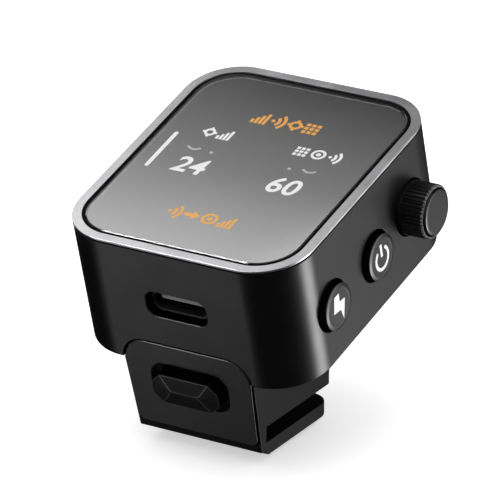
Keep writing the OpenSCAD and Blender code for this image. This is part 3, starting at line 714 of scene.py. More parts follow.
def moulded_pbt():
    """PBT button caps, moulded with a fine matt face: dark grey, a little lighter than the casing"""
    return surface("moulded_dark_grey_pbt", {"IOR": 1.55},
                   grained(0.2, 0.002, tones(settings().control.cap_colour, 0.94, 1.08), (0.3, 0.36)))


def screen_print():
    """White pad-printed ink: slightly uneven, with the matt tooth of dry ink. Its faint glow stands for
    the light that thick white ink scatters"""
    colour = settings().control.print_colour
    return surface("pad_printed_white_ink", {"Emission Color": linear(colour), "Emission Strength": 0.35},
                   grained(0.25, 0.002, (shade(colour, 0.97), colour), (0.5, 0.6)))


def moulded_rubber():
    """Dial grip of hard moulded rubber: near black, with its gloss broken by mould texture"""
    return surface("moulded_hard_rubber", {"IOR": 1.5},
                   grained(0.2, 0.003, ("#050506", "#09090a"), (0.4, 0.5)))


def worn_rubber():
    """Front ends of the dial's teeth: painted light grey as a highlight where their chamfers catch the light, and
    smoother than the rest
    """
    return surface("hard_rubber_painted_highlight", {"IOR": 1.5},
                   grained(0.25, 0.002, ("#545455", "#727273"), (0.32, 0.42)))


def textured_abs():
    """Release button of ABS from an etched tool: black, dull facets that give the thumb a grip"""
    return surface("etched_black_abs", {"IOR": 1.52, "Specular IOR Level": 0.2},
                   grained(0.25, 0.003, tones(settings().foot.release_colour, 0.9, 1.15), (0.4, 0.5)))


def rubbed_edges():
    """Edges of black plastic painted grey as a highlight, and a little smoother than the flat faces"""
    return surface("black_plastic_painted_highlight", {"IOR": 1.55},
                   grained(0.3, 0.001, ("#1e1e1f", "#2a2a2b"), (0.3, 0.4)))


def machined_turn_marks(size, depth):
    """Pattern of fine rings left by a lathe, about the piece's own upright axis"""
    def look(tree, place, shader):
        rings = put(tree, "TexNoise", {"Scale": 1 / (size * MM), "Detail": 1.0}, {"Vector": place})
        bump = put(tree, "Bump", {"Strength": 0.6, "Distance": depth * MM},
                   {"Height": rings.outputs["Fac"]})
        tree.links.new(bump.outputs["Normal"], shader.inputs["Normal"])
    return look


def gold_plate():
    """Gold plated brass: warm and bright, with faint machining marks"""
    return surface("gold_plated_brass", {"Metallic": 1.0, "Base Color": linear("#d9b25a"),
                                         "Roughness": 0.22}, machined_turn_marks(0.15, 0.001))


def stainless_shell():
    """Drawn stainless steel of the charging socket: grey, with soft drawing marks"""
    return surface("drawn_stainless_steel", {"Metallic": 1.0},
                   grained(0.3, 0.002, ("#5c5c5e", "#707072"), (0.3, 0.4)))


def moulded_lcp():
    """Tongue of the charging socket, moulded in black liquid crystal polymer: dull and slightly fibrous"""
    return surface("moulded_black_polymer", {"IOR": 1.6},
                   grained(0.15, 0.002, ("#101011", "#18181a"), (0.35, 0.45)))


def sheared_mid_plate():
    """Sheared edge of the steel plate in the socket's tongue: matt, and painted light grey as a highlight where it
    lies in shade
    """
    return surface("sheared_plate_edge_highlight", {"Metallic": 0.3},
                   grained(0.2, 0.002, ("#7c7c7e", "#8e8e90"), (0.5, 0.6)))


def nickel_screw():
    """Nickel plated screw steel: bright grey with rolled marks"""
    return surface("nickel_plated_steel", {"Metallic": 1.0},
                   grained(0.15, 0.003, ("#9a9a9c", "#b8b8ba"), (0.25, 0.38)))


def tinned_sheet():
    """Tinned sheet steel of cans and switch cases: pale grey and softly blurred"""
    return surface("tinned_sheet_steel", {"Metallic": 1.0},
                   grained(0.5, 0.002, ("#a4a6a8", "#bcbec0"), (0.3, 0.45)))


def spring_wire():
    """Hard-drawn spring wire: mid grey, with fine drawing lines"""
    return surface("hard_drawn_spring_wire", {"Metallic": 1.0},
                   grained(0.1, 0.001, ("#77787a", "#8e9092"), (0.25, 0.35)))


def solder_mask():
    """Fibreglass board under black solder mask, with copper tracks that show as lighter lines every 0.5 mm"""
    def look(tree, place, shader):
        tracks = put(tree, "TexBrick", {"Scale": 1 / (1.0 * MM), "Mortar Size": 0.08, "offset": 0.37,
                                        "Color1": linear("#0b0d0c"), "Color2": linear("#0e100f"),
                                        "Mortar": linear("#1f2422"), "Brick Width": 2.6,
                                        "Row Height": 0.5}, {"Vector": place})
        tree.links.new(tracks.outputs["Color"], shader.inputs["Base Color"])
        bump = put(tree, "Bump", {"Strength": 0.5, "Distance": 0.02 * MM}, {"Height": tracks.outputs["Fac"]})
        tree.links.new(bump.outputs["Normal"], shader.inputs["Normal"])
    return surface("black_solder_mask", {"Roughness": 0.32}, look)


def epoxy_chip():
    """Epoxy chip packages, transfer moulded: charcoal and matt"""
    return surface("moulded_epoxy", {}, grained(0.12, 0.004, ("#1a1b1d", "#242528"), (0.55, 0.7)))


def polyimide_film():
    """Flexible circuit of polyimide film: amber brown and glossy, copper showing through"""
    return surface("polyimide_film", {"IOR": 1.7}, grained(0.8, 0.001, ("#a8611f", "#c67a2c"), (0.2, 0.3)))


def pouch_foil():
    """Laminated pouch foil of the battery: silver grey, soft wrinkles"""
    return surface("laminated_pouch_foil", {"Metallic": 0.85},
                   grained(2.5, 0.05, ("#94969a", "#b4b6ba"), (0.3, 0.45)))


def natural_nylon():
    """Plug of natural nylon: cream white, slightly waxy"""
    return surface("natural_nylon", {"Subsurface Weight": 0.1, "Subsurface Radius": (0.001, 0.0008, 0.0006)},
                   grained(0.4, 0.002, ("#e4dccb", "#efe9dc"), (0.4, 0.5)))


def wire_sleeve():
    """Extruded PVC wire sleeve: red and smooth, with slight drawing ripples"""
    return surface("extruded_red_pvc", {}, grained(0.6, 0.002, ("#8f1712", "#a81d16"), (0.3, 0.4)))


FINISHES = {
    "casing_plastic": spark_eroded_abs,
    "rim_metal": bead_blasted_aluminium,
    "gasket_rubber": moulded_silicone,
    "cover_glass": polished_glass,
    "display_module": display_glass,
    "flex_film": polyimide_film,
    "circuit_board": solder_mask,
    "chip_plastic": epoxy_chip,
    "screw_steel": nickel_screw,
    "sheet_steel": tinned_sheet,
    "battery_foil": pouch_foil,
    "plug_nylon": natural_nylon,
    "wire_red": wire_sleeve,
    "socket_steel": stainless_shell,
    "tongue_plastic": moulded_lcp,
    "mid_plate": sheared_mid_plate,
    "button_plastic": moulded_pbt,
    "dial_rubber": moulded_rubber,
    "worn_rubber": worn_rubber,
    "release_plastic": textured_abs,
    "rubbed": rubbed_edges,
    "contact_gold": gold_plate,
    "spring_steel": spring_wire,
    "lit_white": lit_white,
    "lit_amber": lit_amber,
    "lit_dim": lit_dim,
    "white_print": screen_print,
    "unpolished": unpolished_abs,
    "foot_nylon": filled_nylon,
    "display_glow": display_glow,
}


def paint(name):
    """The material of a finish, made when it is first asked for"""
    if name not in MATERIALS:
        MATERIALS[name] = FINISHES[name]()
    return MATERIALS[name]


# Pieces


def side_hole(node, radius):
    """Cutter for a round hole in the right wall, on the axis of a node"""
    wall = settings().casing.wall
    stations = [(SIDE_X - 2 * wall, radius), (SIDE_X + wall, radius)]
    return apply_place(turned("cutter", stations, 96), side(node))


def port_cutter(control, casing):
    """Cutter for the mouth of the charging port"""
    z = middle("usb_shell").z
    low = (-control.port_width / 2, -casing.wall, z - control.port_height / 2)
    high = (control.port_width / 2, 2 * casing.wall, z + control.port_height / 2)
    return round_edges(block("cutter", low, high), 1, control.port_corner, 10)


class PieceOperator:
    """What the operators of all pieces share"""

    bl_options = {"REGISTER", "UNDO"}


class TRIGGER_OT_casing_shell(PieceOperator, Operator):
    """Makes the casing's shell with its holes, its pocket for the foot cover and its inner posts"""

    bl_idname = "trigger.casing_shell"
    bl_label = "Casing Shell"

    def execute(self, context):
        casing, control, foot = (getattr(settings(), part) for part in ("casing", "control", "foot"))
        shell = slab("casing_shell", 0, SOLE_Z, SHELL_HIGH.z)
        bevel_edges(shell, lambda a, b: max(a.z, b.z) < SOLE_Z + SMALL, casing.sole_ease, 3)
        above = casing.wall
        lip_rise = 1.2 * MM
        combine(shell, [
            slab("cutter", casing.wall, SOLE_Z + casing.wall, above),
            slab("cutter", casing.lip, RIM_LOW.z + lip_rise, above),
            port_cutter(control, casing),
            side_hole("flash_plunger", control.cap_radius + control.cap_gap),
            side_hole("mode_plunger", control.cap_radius + control.cap_gap),
            side_hole("dial_ring", radius_of("dial_ring") + control.dial_gap),
            front_drawn("cutter", cover_outline(foot, foot.cover_seam), -foot.cover_thickness, casing.wall)])
        port_z = middle("usb_shell").z

        def port_edge(a, b):
            reach = (control.port_height + casing.wall) / 2
            return max(a.y, b.y) < SMALL and all(
                abs(at.x) < control.port_width / 2 + SMALL and abs(at.z - port_z) < reach for at in (a, b))

        bevel_edges(shell, port_edge, control.port_ease, 3)
        ease(shell, casing.edge_ease)
        skin = 0.2 * MM

        def inside(at, normal):
            return outline_inset(at, casing.corner_radius) > skin and at.z > SOLE_Z + skin

        # Faces inside the casing and in its holes are painted darker, as shade
        finish(shell, "casing", "casing_plastic", ["housing"], others=[("unpolished", inside)])
        self.posts(casing)
        return {"FINISHED"}

    def posts(self, casing):
        """Screw posts under the main board and the ribs that hold the battery and the side board"""
        floor = SOLE_Z + casing.wall
        board = casing_box("main_board")
        battery = casing_box("battery")
        side_board = casing_box("side_board")
        screws = casing_box("board_screws")
        head_radius = 1.3 * MM
        radius = 1.9 * MM
        root_radius = radius * 1.15
        root_height = 0.4 * MM
        bore = 0.72 * MM
        bore_floor = 1.5 * MM
        rib = 1.0 * MM
        slim_rib = 0.8 * rib
        left_rib, right_rib = 2.5 * MM, 6.5 * MM
        parts = []
        for x in (screws[0].x + head_radius, screws[1].x - head_radius):
            for y in (screws[0].y + head_radius, screws[1].y - head_radius):
                post = turned("post", [
                    (floor, root_radius), (floor + root_height, radius), (board[0].z, radius),
                    (board[0].z, bore), (floor + bore_floor, bore)], 40)
                parts.append(apply_place(post, Matrix.Translation((x, y, 0))))
        for x in (battery[0].x + left_rib, battery[1].x - right_rib):
            parts.append(block("rib", (x, battery[0].y + rib / 2, floor),
                               (x + rib, battery[1].y - rib / 2, battery[0].z)))
        for x in (side_board[0].x - rib, side_board[1].x + rib / 8):
            parts.append(block("rib", (x, side_board[0].y + 2 * rib, floor),
                               (x + slim_rib, side_board[1].y - 2 * rib, side_board[0].z + 1.5 * rib)))
        posts = ease(joined("casing_posts", parts), casing.edge_ease)
        finish(posts, "casing", "casing_plastic")


class TRIGGER_OT_screen_rim(PieceOperator, Operator):
    """Makes the metal rim with its shadow line and the skirt that goes into the casing"""

    bl_idname = "trigger.screen_rim"
    bl_label = "Screen Rim"

    def execute(self, context):
        casing, screen = settings().casing, settings().screen
        overlap = 0.05 * MM
        gap = 0.05 * MM
        lip_depth = 0.75 * MM
        bed_depth = 0.2 * MM
        outer_reach = 0.1 * MM
        small_ease = 0.03 * MM
        skirt_z = SHELL_HIGH.z - lip_depth
        rim = slab("screen_rim", 0, -screen.rim_edge, 0)
        combine(rim, [slab("neck", screen.seam_inset, SHELL_HIGH.z, overlap - screen.rim_edge),
                      slab("skirt", casing.lip + gap, skirt_z, SHELL_HIGH.z + overlap),
                      slab("skirt", casing.wall + 2 * gap, RIM_LOW.z, skirt_z + overlap)], "UNION")
        combine(rim, [slab("cutter", screen.rim_width, GLASS_LOW.z - bed_depth, casing.wall),
                      slab("cutter", screen.ledge_inset, RIM_LOW.z - casing.wall, casing.wall)])

        def outer(a, b):
            return min(a.z, b.z) > -SMALL and outline_inset((a + b) / 2, casing.corner_radius) < outer_reach

        bevel_edges(rim, outer, screen.rim_edge_ease, 2)
        ease(rim, small_ease, 2, 30)
        finish(rim, "casing", "rim_metal", ["bezel_frame"])
        return {"FINISHED"}


def outline_inset(point, radius):
    """Distance from a point to the casing's outline, measured inwards"""
    dx = SIDE_X - abs(point.x)
    dy = min(point.y - SHELL_LOW.y, SHELL_HIGH.y - point.y)
    if dx < radius and dy < radius:
        return radius - math.hypot(radius - dx, radius - dy)
    return min(dx, dy)


class TRIGGER_OT_screen_glass(PieceOperator, Operator):
    """Makes the cover glass with its polished chamfer, the seal round it and the film under it, whose grey glow is
    a painted reflection
    """

    bl_idname = "trigger.screen_glass"
    bl_label = "Screen Glass"

    def execute(self, context):
        screen = settings().screen
        inset = GLASS_LOW.y
        clear = settings().casing.wall
        bed = casing_box("display_panel")[1].z
        gasket_low = casing_box("glass_gasket")[0]
        seal_floor = 0.01 * MM
        seal_ease = 0.04 * MM
        seal = slab("screen_seal", gasket_low.y, gasket_low.z, -screen.seal_drop)
        combine(seal, [slab("cutter", inset + screen.seal_squeeze, bed - seal_floor, clear),
                       slab("cutter", screen.ledge_inset, gasket_low.z - clear, clear)])
        finish(ease(seal, seal_ease), "casing", "gasket_rubber", ["glass_gasket"])
        film_gap = 0.06 * MM
        film_low, film_high = 0.001 * MM, 0.008 * MM
        film = slab("display_film", inset + film_gap, bed + film_low, bed + film_high)
        # The film's grey glow is a painted reflection of the soft box, not a backlight
        finish(film, "casing", "display_module", look="display_glow")

        glass = slab("screen_glass", inset, GLASS_LOW.z, GLASS_HIGH.z)
        bevel_edges(glass, lambda a, b: min(a.z, b.z) > -SMALL, screen.glass_chamfer, 1)
        finish(glass, "casing", "cover_glass", ["cover_glass"])
        return {"FINISHED"}


class TRIGGER_OT_screen_graphics(PieceOperator, Operator):
    """Makes what the lit display shows: two plain numbers, pictograms and a bar"""

    bl_idname = "trigger.screen_graphics"
    bl_label = "Screen Graphics"

    def execute(self, context):
        screen = settings().screen
        above_film = 0.01 * MM
        thickness = 0.012 * MM
        low = casing_box("display_panel")[1].z + above_film
        high = low + thickness
        # The glass lifts what lies under it, as seen from the front right, so the pictograms are set off
        lifted = Matrix.Translation((-0.31 * MM, 0.41 * MM, 0))
        digits = [self.number(screen.left_number, -7.55, 18.7, low, high),
                  self.number(screen.right_number, 7.05, 18.55, low, high)]
        shapes = (("screen_labels", self.labels(), "lit_white"), ("screen_bar", self.slider(), "lit_white"),
                  ("screen_channels", self.upper(), "lit_amber"), ("screen_links", self.lower(), "lit_amber"),
                  ("screen_wheels", self.wheels(), "lit_dim"))
        pieces = [(joined("screen_numbers", digits), "lit_white")]
        pieces += [(drawn(name, millimetres(shape), low, high), look) for name, shape, look in shapes]
        for piece, look in pieces:
            finish(piece, "casing", "display_module", look=look, place=CASING @ lifted)
        return {"FINISHED"}

    def number(self, value, x, y, low, high):
        """A plain bold number with a slight lean, centred on a place in millimetres"""
        text = bpy.data.curves.new("number", "FONT")
        text.body = str(value)
        text.align_x = "CENTER"
        text.align_y = "CENTER"
        text.size = 4.75 * MM
        text.shear = 0.1
        text.offset = 0.09 * MM
        text.space_character = 1.02
        text.extrude = (high - low) / 2
        return to_solid("number", text, Matrix.Translation((x * MM, y * MM, (low + high) / 2)))

    def signal(self, x, y, size):
        """Four rising bars"""
        step = size / 4
        return [bar(x + i * step, y, x + (i + 0.72) * step, y + size * (0.35 + 0.215 * i)) for i in range(4)]

    def ring(self, x, y, size):
        """A ring with a dot in it"""
        r = size / 2
        return [disc(x + r, y + r, r), disc(x + r, y + r, r * 0.64), disc(x + r, y + r, r * 0.34)]

    def waves(self, x, y, size):
        """A dot that sends two curved waves"""
        cx, cy = x + size * 0.12, y + size / 2
        width = size * 0.19
        return [disc(cx + size * 0.06, cy, size * 0.12)] + [
            band(cx, cy, size * share, width, -48, 48) for share in (0.42, 0.75)]

    def arrow(self, x, y, size):
        """An arrow to the right"""
        neck, tip = x + size / 2, x + size
        m = y + size / 2
        w, head = size * 0.14, size * 0.38
        return [[(x, m - w), (neck, m - w), (neck, m - head), (tip, m), (neck, m + head), (neck, m + w),
                 (x, m + w)]]

    def grid(self, x, y, size):
        """Nine small squares"""
        step = size / 3
        cell = step * 0.72
        return [bar(x + i * step, y + j * step, x + i * step + cell, y + j * step + cell)
                for i in range(3) for j in range(3)]

    def target(self, x, y, size):
        """A ring crossed by four ticks"""
        cx, cy = x + size / 2, y + size / 2
        t = size * 0.09
        long = size * 0.12
        ticks = [bar(cx - t, y + size - long, cx + t, y + size), bar(cx - t, y, cx + t, y + long),
                 bar(x, cy - t, x + long, cy + t), bar(x + size - long, cy - t, x + size, cy + t)]
        return [disc(cx, cy, size * 0.38), disc(cx, cy, size * 0.2)] + ticks

    def row(self, signs, x, y, size, step):
        """A row of pictograms"""
        return [outline for i, sign in enumerate(signs) for outline in sign(x + i * step, y, size)]

    def upper(self):
        """Amber pictograms in the upper part of the display"""
        return self.row((self.signal, self.waves, self.target, self.grid), -5.1, 30.6, 2.5, 2.68)

    def lower(self):
        """Amber pictograms in the lower part of the display"""
        return self.row((self.waves, self.arrow, self.ring, self.signal), -5.15, 7.7, 2.4, 2.68)

    def labels(self):
        """White pictograms over the two numbers"""
        left = self.row((self.target, self.signal), -10.1, 25.6, 2.2, 2.45)
        return left + self.row((self.grid, self.ring, self.waves), 4.4, 25.65, 2.15, 2.5)

    def slider(self):
        """White bar beside the left number"""
        return [arc(-13.35, 25.0, 0.31, 0, 180) + arc(-13.35, 17.15, 0.31, 180, 360)]

    def wheels(self):
        """Lower edges of the numbers that follow on both wheels"""
        return [band(-9.2, 23.6, 1.2, 0.34, 215, 325), band(8.65, 23.8, 1.2, 0.34, 215, 325),
                disc(-6.3, 22.45, 0.26), disc(5.8, 22.55, 0.26)]


class TRIGGER_OT_side_keys(PieceOperator, Operator):
    """Makes the two push buttons in the right wall, with their printed signs"""

    bl_idname = "trigger.side_keys"
    bl_label = "Side Keys"

    def execute(self, context):
        self.key("flash_key", "flash_button", self.bolt())
        self.key("mode_key", "mode_button", self.power())
        return {"FINISHED"}

    def key(self, body, node, sign):
        """One cap with its flange and its sign"""
        control = settings().control
        low, high = casing_box(node)
        place = CASING @ side(node)
        flange_radius = radius_of(node)
        shoulder = low.x + control.flange
        chamfer = control.cap_chamfer
        face = high.x - control.cap_dish
        inner_radius = control.cap_radius - 1.2 * chamfer
        cone = control.cap_cone
        ink_root = 0.01 * MM
        ink_rise = 0.02 * MM
        cap = turned(body + "_cap", [
            (low.x, flange_radius - chamfer), (low.x + chamfer, flange_radius),
            (shoulder, flange_radius), (shoulder, control.cap_radius)]
            + rounded(high.x - cone, control.cap_radius, chamfer / 2, 3)
            + [(high.x, control.cap_radius - chamfer / 2 - cone / math.tan(CONE_LEAN)),
               (high.x, inner_radius - chamfer), (face, inner_radius - 2 * chamfer)], 96)
        # The cap's side and flange are painted darker, as shade
        finish(cap, body, "button_plastic", [node], place=place,
               others=[("unpolished", lambda at, normal: at.z < high.x - chamfer)])
        printed = drawn(body + "_sign", millimetres(sign), face - ink_root, face + ink_rise)
        finish(printed, body, "button_plastic", look="white_print", place=place)

    def bolt(self):
        """Lightning bolt, the usual sign for a flash"""
        return [[(-0.85, 2.0), (0.3, 2.0), (0.2, 0.7), (1.55, 0.5), (0.7, -2.3), (0.25, -0.6), (-1.45, -0.3)]]

    def power(self):
        """Ring with a gap and a stroke, the usual sign for on and off"""
        return [band(0, -0.15, 1.6, 0.46, 125, 415), bar(-0.23, 0.1, 0.23, 2.0)]


class TRIGGER_OT_dial(PieceOperator, Operator):
    """Makes the knurled grip of the dial and its end disc"""

    bl_idname = "trigger.dial"
    bl_label = "Dial"

    def execute(self, context):
        control = settings().control
        low, high = casing_box("dial_ring")
        place = CASING @ side("dial_ring")
        radius = radius_of("dial_ring")
        root = radius - control.knurl_depth
        teeth = control.knurl_teeth
        start = SIDE_X + control.knurl_start
        teeth_start = start + SMALL * 20
        disc_low, disc_high = casing_box("dial_disc")
        disc_radius = radius_of("dial_disc")
        cup = disc_radius + control.disc_gap
        bore = radius_of("dial_shaft")
        chamfer = 0.22 * MM
        grip = turned("dial_grip", [(low.x, radius - chamfer), (low.x + chamfer, radius), (start, radius)],
                      4 * teeth)

        def is_tip(co):
            """True on the two points in each tooth's four that stand out"""
            turn = math.atan2(co.y, co.x) / (2 * math.pi) * teeth
            return (turn + 0.25) % 1 < 0.5

        def at_top(height):
            return lambda at, normal: abs(at.z - height) < SMALL and abs(normal.z) > 0.5

        # The plain collar ends where the valleys between the teeth step in
        edit(grip, "FACE", at_top(start), raised((start, radius), (teeth_start, radius)))
        edit(grip, "VERT", lambda co: co.z > start + SMALL and not is_tip(co), resized(root / radius, start))
        top = high.x - chamfer
        edit(grip, "FACE", at_top(teeth_start),
             raised((teeth_start, radius), (top, radius), (high.x, radius)))
        edit(grip, "VERT", lambda co: co.z > top + SMALL and is_tip(co), resized(root / radius, high.x))
        floor = high.x - control.cup_depth
        edit(grip, "FACE", at_top(high.x), raised(
            (high.x, root), (high.x, cup), (floor, cup), (floor, bore), (low.x + SMALL, bore)))
        # The front ends of the teeth are painted light grey as a highlight
        finish(face_outwards(grip), "dial", "dial_rubber", ["dial_ring"], smooth=25, place=place,
               others=[("worn_rubber", lambda at, normal: at.z > top and 0.1 < normal.z
                        and math.hypot(at.x, at.y) > cup)])

        cone = control.cap_cone
        ease_width = 0.12 * MM
        end = turned("dial_end_disc", [(disc_low.x, disc_radius)]
                     + rounded(disc_high.x - cone, disc_radius, ease_width, 3)
                     + [(disc_high.x, disc_radius - ease_width - cone / math.tan(CONE_LEAN))], 96)
        finish(end, "dial", "button_plastic", ["dial_disc"], place=place)
        return {"FINISHED"}


class TRIGGER_OT_charging_port(PieceOperator, Operator):
    """Makes the shell, the tongue and the contact pads of the charging socket"""

    bl_idname = "trigger.charging_port"
    bl_label = "Charging Port"

    def execute(self, context):
        low, high = casing_box("usb_shell")
        sheet = 0.3 * MM
        sheet_ease = 0.05 * MM
        shell = round_edges(block("socket_shell", low, high), 1, (high.z - low.z) / 2 - 20 * SMALL, 12)

        def hollow():
            bpy.ops.mesh.inset(thickness=sheet, depth=0)
            bpy.ops.mesh.extrude_region_move(
                TRANSFORM_OT_translate={"value": (0, high.y - low.y - 1.6 * sheet, 0)})

        edit(shell, "FACE", lambda at, normal: normal.y < -0.9, hollow)
        finish(ease(shell, sheet_ease), "casing", "socket_steel", ["usb_shell"])

        low, high = casing_box("usb_tongue")
        base_depth = 1.1 * MM
        base_side = 0.1 * MM
        base_y = high.y - base_depth
        thick = 0.35 * MM
        z = (low.z + high.z) / 2
        tongue = block("socket_tongue", (low.x, low.y, z - thick), (high.x, high.y, z + thick))
        bevel_edges(tongue, lambda a, b: max(a.y, b.y) < low.y + SMALL, thick / 2, 3)
        base = block("base", (low.x - base_side, base_y, low.z), (high.x + base_side, high.y, high.z))
        combine(tongue, [base], "UNION")
        # The tongue's front face is the plate's edge, painted light grey as a highlight
        finish(tongue, "casing", "tongue_plastic", ["usb_tongue"],
               others=[("mid_plate", lambda at, normal: normal.y < -0.3 and at.y < base_y)])

        pitch = 0.5 * MM
        width = 0.26 * MM
        reach = 3.6 * MM
        rise = width / 12
        pads = [block("pad", (x - width / 2, low.y + thick, z + face * thick - rise),
                      (x + width / 2, low.y + thick + reach, z + face * thick + rise))
                for x in (pitch * (i - 5.5) for i in range(12)) for face in (-1, 1)]
        finish(joined("socket_pads", pads), "casing", "contact_gold")
        return {"FINISHED"}


class TRIGGER_OT_foot(PieceOperator, Operator):
    """Makes the foot block and the shoe plate with their moulded edges eased"""

    bl_idname = "trigger.foot"
    bl_label = "Foot"

    def execute(self, context):
        mould_ease = 0.12 * MM
        for node, name in (("foot_block", "foot_base"), ("shoe_foot", "shoe_plate")):
            piece = ease(merged_copy(node, name), mould_ease)
            finish(piece, "casing", "casing_plastic", [node], look="foot_nylon", place=Matrix())
        return {"FINISHED"}


class TRIGGER_OT_foot_cover(PieceOperator, Operator):
    """Makes the foot cover with its round tab and the soft-edged recess round the release button"""

    bl_idname = "trigger.foot_cover"
    bl_label = "Foot Cover"

    def execute(self, context):
        foot = settings().foot
        thick = foot.cover_thickness
        small_ease = 0.06 * MM
        cover = front_drawn("foot_front_cover", cover_outline(foot), -thick, 0)
        combine(cover, [front_drawn("cutter", recess_outline(foot), -2 * thick, thick)])

        def round_recess(a, b):
            at = (a + b) / 2
            margin = 2 * foot.release_gap
            return (max(a.y, b.y) < SMALL and abs(at.x) < foot.release_width / 2 + margin
                    and abs(at.z - SOLE_Z + foot.release_drop) < foot.release_height / 2 + margin)

        def round_tab(a, b):
            return max(a.y, b.y) < SMALL and min(a.z, b.z) > COVER_HIGH.z - foot.tab_radius

        bevel_edges(cover, round_recess, foot.recess_ease, 4)
        bevel_edges(cover, round_tab, foot.cover_ease, 2)
        # The cover's sides and back are painted darker, as shade
        finish(ease(cover, small_ease), "casing", "casing_plastic", ["foot_cover"],
               others=[("unpolished", lambda at, normal: normal.y > -0.1)])
        return {"FINISHED"}


class TRIGGER_OT_release_key(PieceOperator, Operator):
    """Makes the release button with its four-sided crown, whose ridge and edges get a painted highlight"""

    bl_idname = "trigger.release_key"
    bl_label = "Release Key"

    def execute(self, context):
        key = merged_copy("release_button", "release_key")
        facets = [face.normal.copy() for face in key.data.polygons]
        same = math.cos(math.radians(0.8))
        forward = -Vector(RELEASE_AXIS)
        crown = math.cos(math.radians(20))
        crown_line = 0.07
        key_ease = 0.12 * MM

        def worn(at, normal):
            """The ridge, the diagonals and the outer edges: what is eased and belongs to no facet, and gets a
            painted highlight
            """
            return (normal.dot(forward) > 0.5 and (abs(normal.x) < crown_line or normal.dot(forward) < crown)
                    and all(normal.dot(facet) < same for facet in facets))

        # The key's sides and back are painted darker as shade; its ridge, diagonals and outer edges get a painted
        # highlight
        finish(ease(key, key_ease, 2, 4), "release_slider", "release_plastic", ["release_button"], smooth=12,
               place=Matrix(), others=[("unpolished", lambda at, normal: normal.dot(forward) < 0.2),
                                       ("rubbed", worn)])
        return {"FINISHED"}


class TRIGGER_OT_contacts(PieceOperator, Operator):
    """Makes the sprung contacts with domed tips and the lock pin"""

    bl_idname = "trigger.contacts"
    bl_label = "Contacts"

    def execute(self, context):
        bodies = {"contact_centre": "centre_plunger"}
        bodies.update({f"contact_data_{i}": f"data_plunger_{i}" for i in range(1, 5)})
        for node, body in bodies.items():
            self.contact(node, body)
        bolt_ease = 0.04 * MM
        bolt = ease(merged_copy("lock_pin", "lock_bolt"), bolt_ease)
        finish(bolt, "lock", "screw_steel", ["lock_pin"], place=Matrix())
        return {"FINISHED"}

    def contact(self, node, body):
        """One contact: a domed tip, a shoulder and the rod that its spring sits on"""
        low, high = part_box(node)
        centre = (low + high) / 2
        step = 0.35 * MM
        rod_length = 0.7 * MM
        shoulder = high.x - centre.x
        tip = shoulder - step
        seat = 1.05 * MM
        rod = 0.4 * MM
        rod_z = high.z - rod_length
        dome_height = tip * 0.35
        dome_turns = [math.radians(angle) for angle in (8, 25, 42, 58, 74, 90)]
        dome = [(low.z + dome_height * (1 - math.cos(t)), tip * math.sin(t)) for t in dome_turns]
        ease_width = 0.08 * MM
        piece = turned(node + "_pin", dome + [
            (seat, tip), (seat, shoulder - ease_width), (seat + ease_width, shoulder),
            (rod_z - ease_width, shoulder), (rod_z, shoulder - ease_width), (rod_z, rod),
            (high.z - ease_width, rod), (high.z, rod - ease_width)], 48)
        finish(piece, body, "contact_gold", [node], place=Matrix.Translation((centre.x, centre.y, 0)))


class TRIGGER_OT_springs(PieceOperator, Operator):
    """Makes the coil springs over the contacts and the lock pin, which shorten as their pins are drawn in"""

    bl_idname = "trigger.springs"
    bl_label = "Springs"

    def execute(self, context):
        for joint in frame["record"]["behaviour"]["joints"]:
            for spring in joint.get("deforming_nodes", ()):
                coil = merged_copy(spring["node"], spring["node"] + "_coil")
                finish(coil, "casing", "spring_steel", [spring["node"]], place=Matrix())
                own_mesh(coil)
        return {"FINISHED"}


class TRIGGER_OT_inner_parts(PieceOperator, Operator):
    """Gives the parts that stay as they are in the frame their real finishes"""

    bl_idname = "trigger.inner_parts"
    bl_label = "Inner Parts"

    def execute(self, context):
        for node in frame["nodes"].values():
            for place in node.material_slots:
                slot_name = place.material.name.split(".")[0]
                if slot_name in FINISHES:
                    place.material = paint(slot_name)
        return {"FINISHED"}


# Soft boxes that a face of the casing mirrors to the camera, in metres and in the casing's frame, as (name,
# spot on the face, its way out, the ramp's way, distance, size, the two distances from the middle between
# which the light fades across, and the ramp's two places, each with its strength)
SOFT_BOXES = (
    ("screen_soft_box", (0, (GLASS_LOW.y + GLASS_HIGH.y) / 2, 0), (0, 0, 1), (0, 1, 0),
     0.13, 0.3, (0.09, 0.14), (-0.075, 2.3, 0.0285, 0.0)),
    ("side_soft_box", (SIDE_X, SHELL_HIGH.y / 2, SOLE_Z / 4), (1, 0, 0), (0, 1, 0),
     0.25, 0.14, (0.004, 0.034), (-0.06, 1.6, 0.034, 0.0)),
    ("front_soft_box", (0, 0, SOLE_Z / 2), (0, -1, 0), (0, 0, 1),
     0.25, 0.14, (0.02, 0.042), (-0.036, 0.0, 0.06, 2.3)),
)
# Strip lights in the sky, as (name, azimuth, elevation, inner and outer angle in degrees, strength)
STRIPS = (
    ("corner strip", 34.5, -28.0, 3, 13, 12.0),
    ("cap strip", 24.0, -8.0, 4, 13, 5.0),
    ("cap strip top", 42.0, 2.0, 4, 13, 3.0),
    ("cap strip foot", 50.0, -46.0, 4, 12, 0.8),
    ("rear strip", -123.5, 29.5, 6, 14, 20.0),
)
# Black flags, as (azimuth, elevation, inner and outer angle)
FLAGS = ((-55.0, -44.0, 34, 56), (170.0, -34.0, 28, 44), (112.0, -22.0, 18, 32))


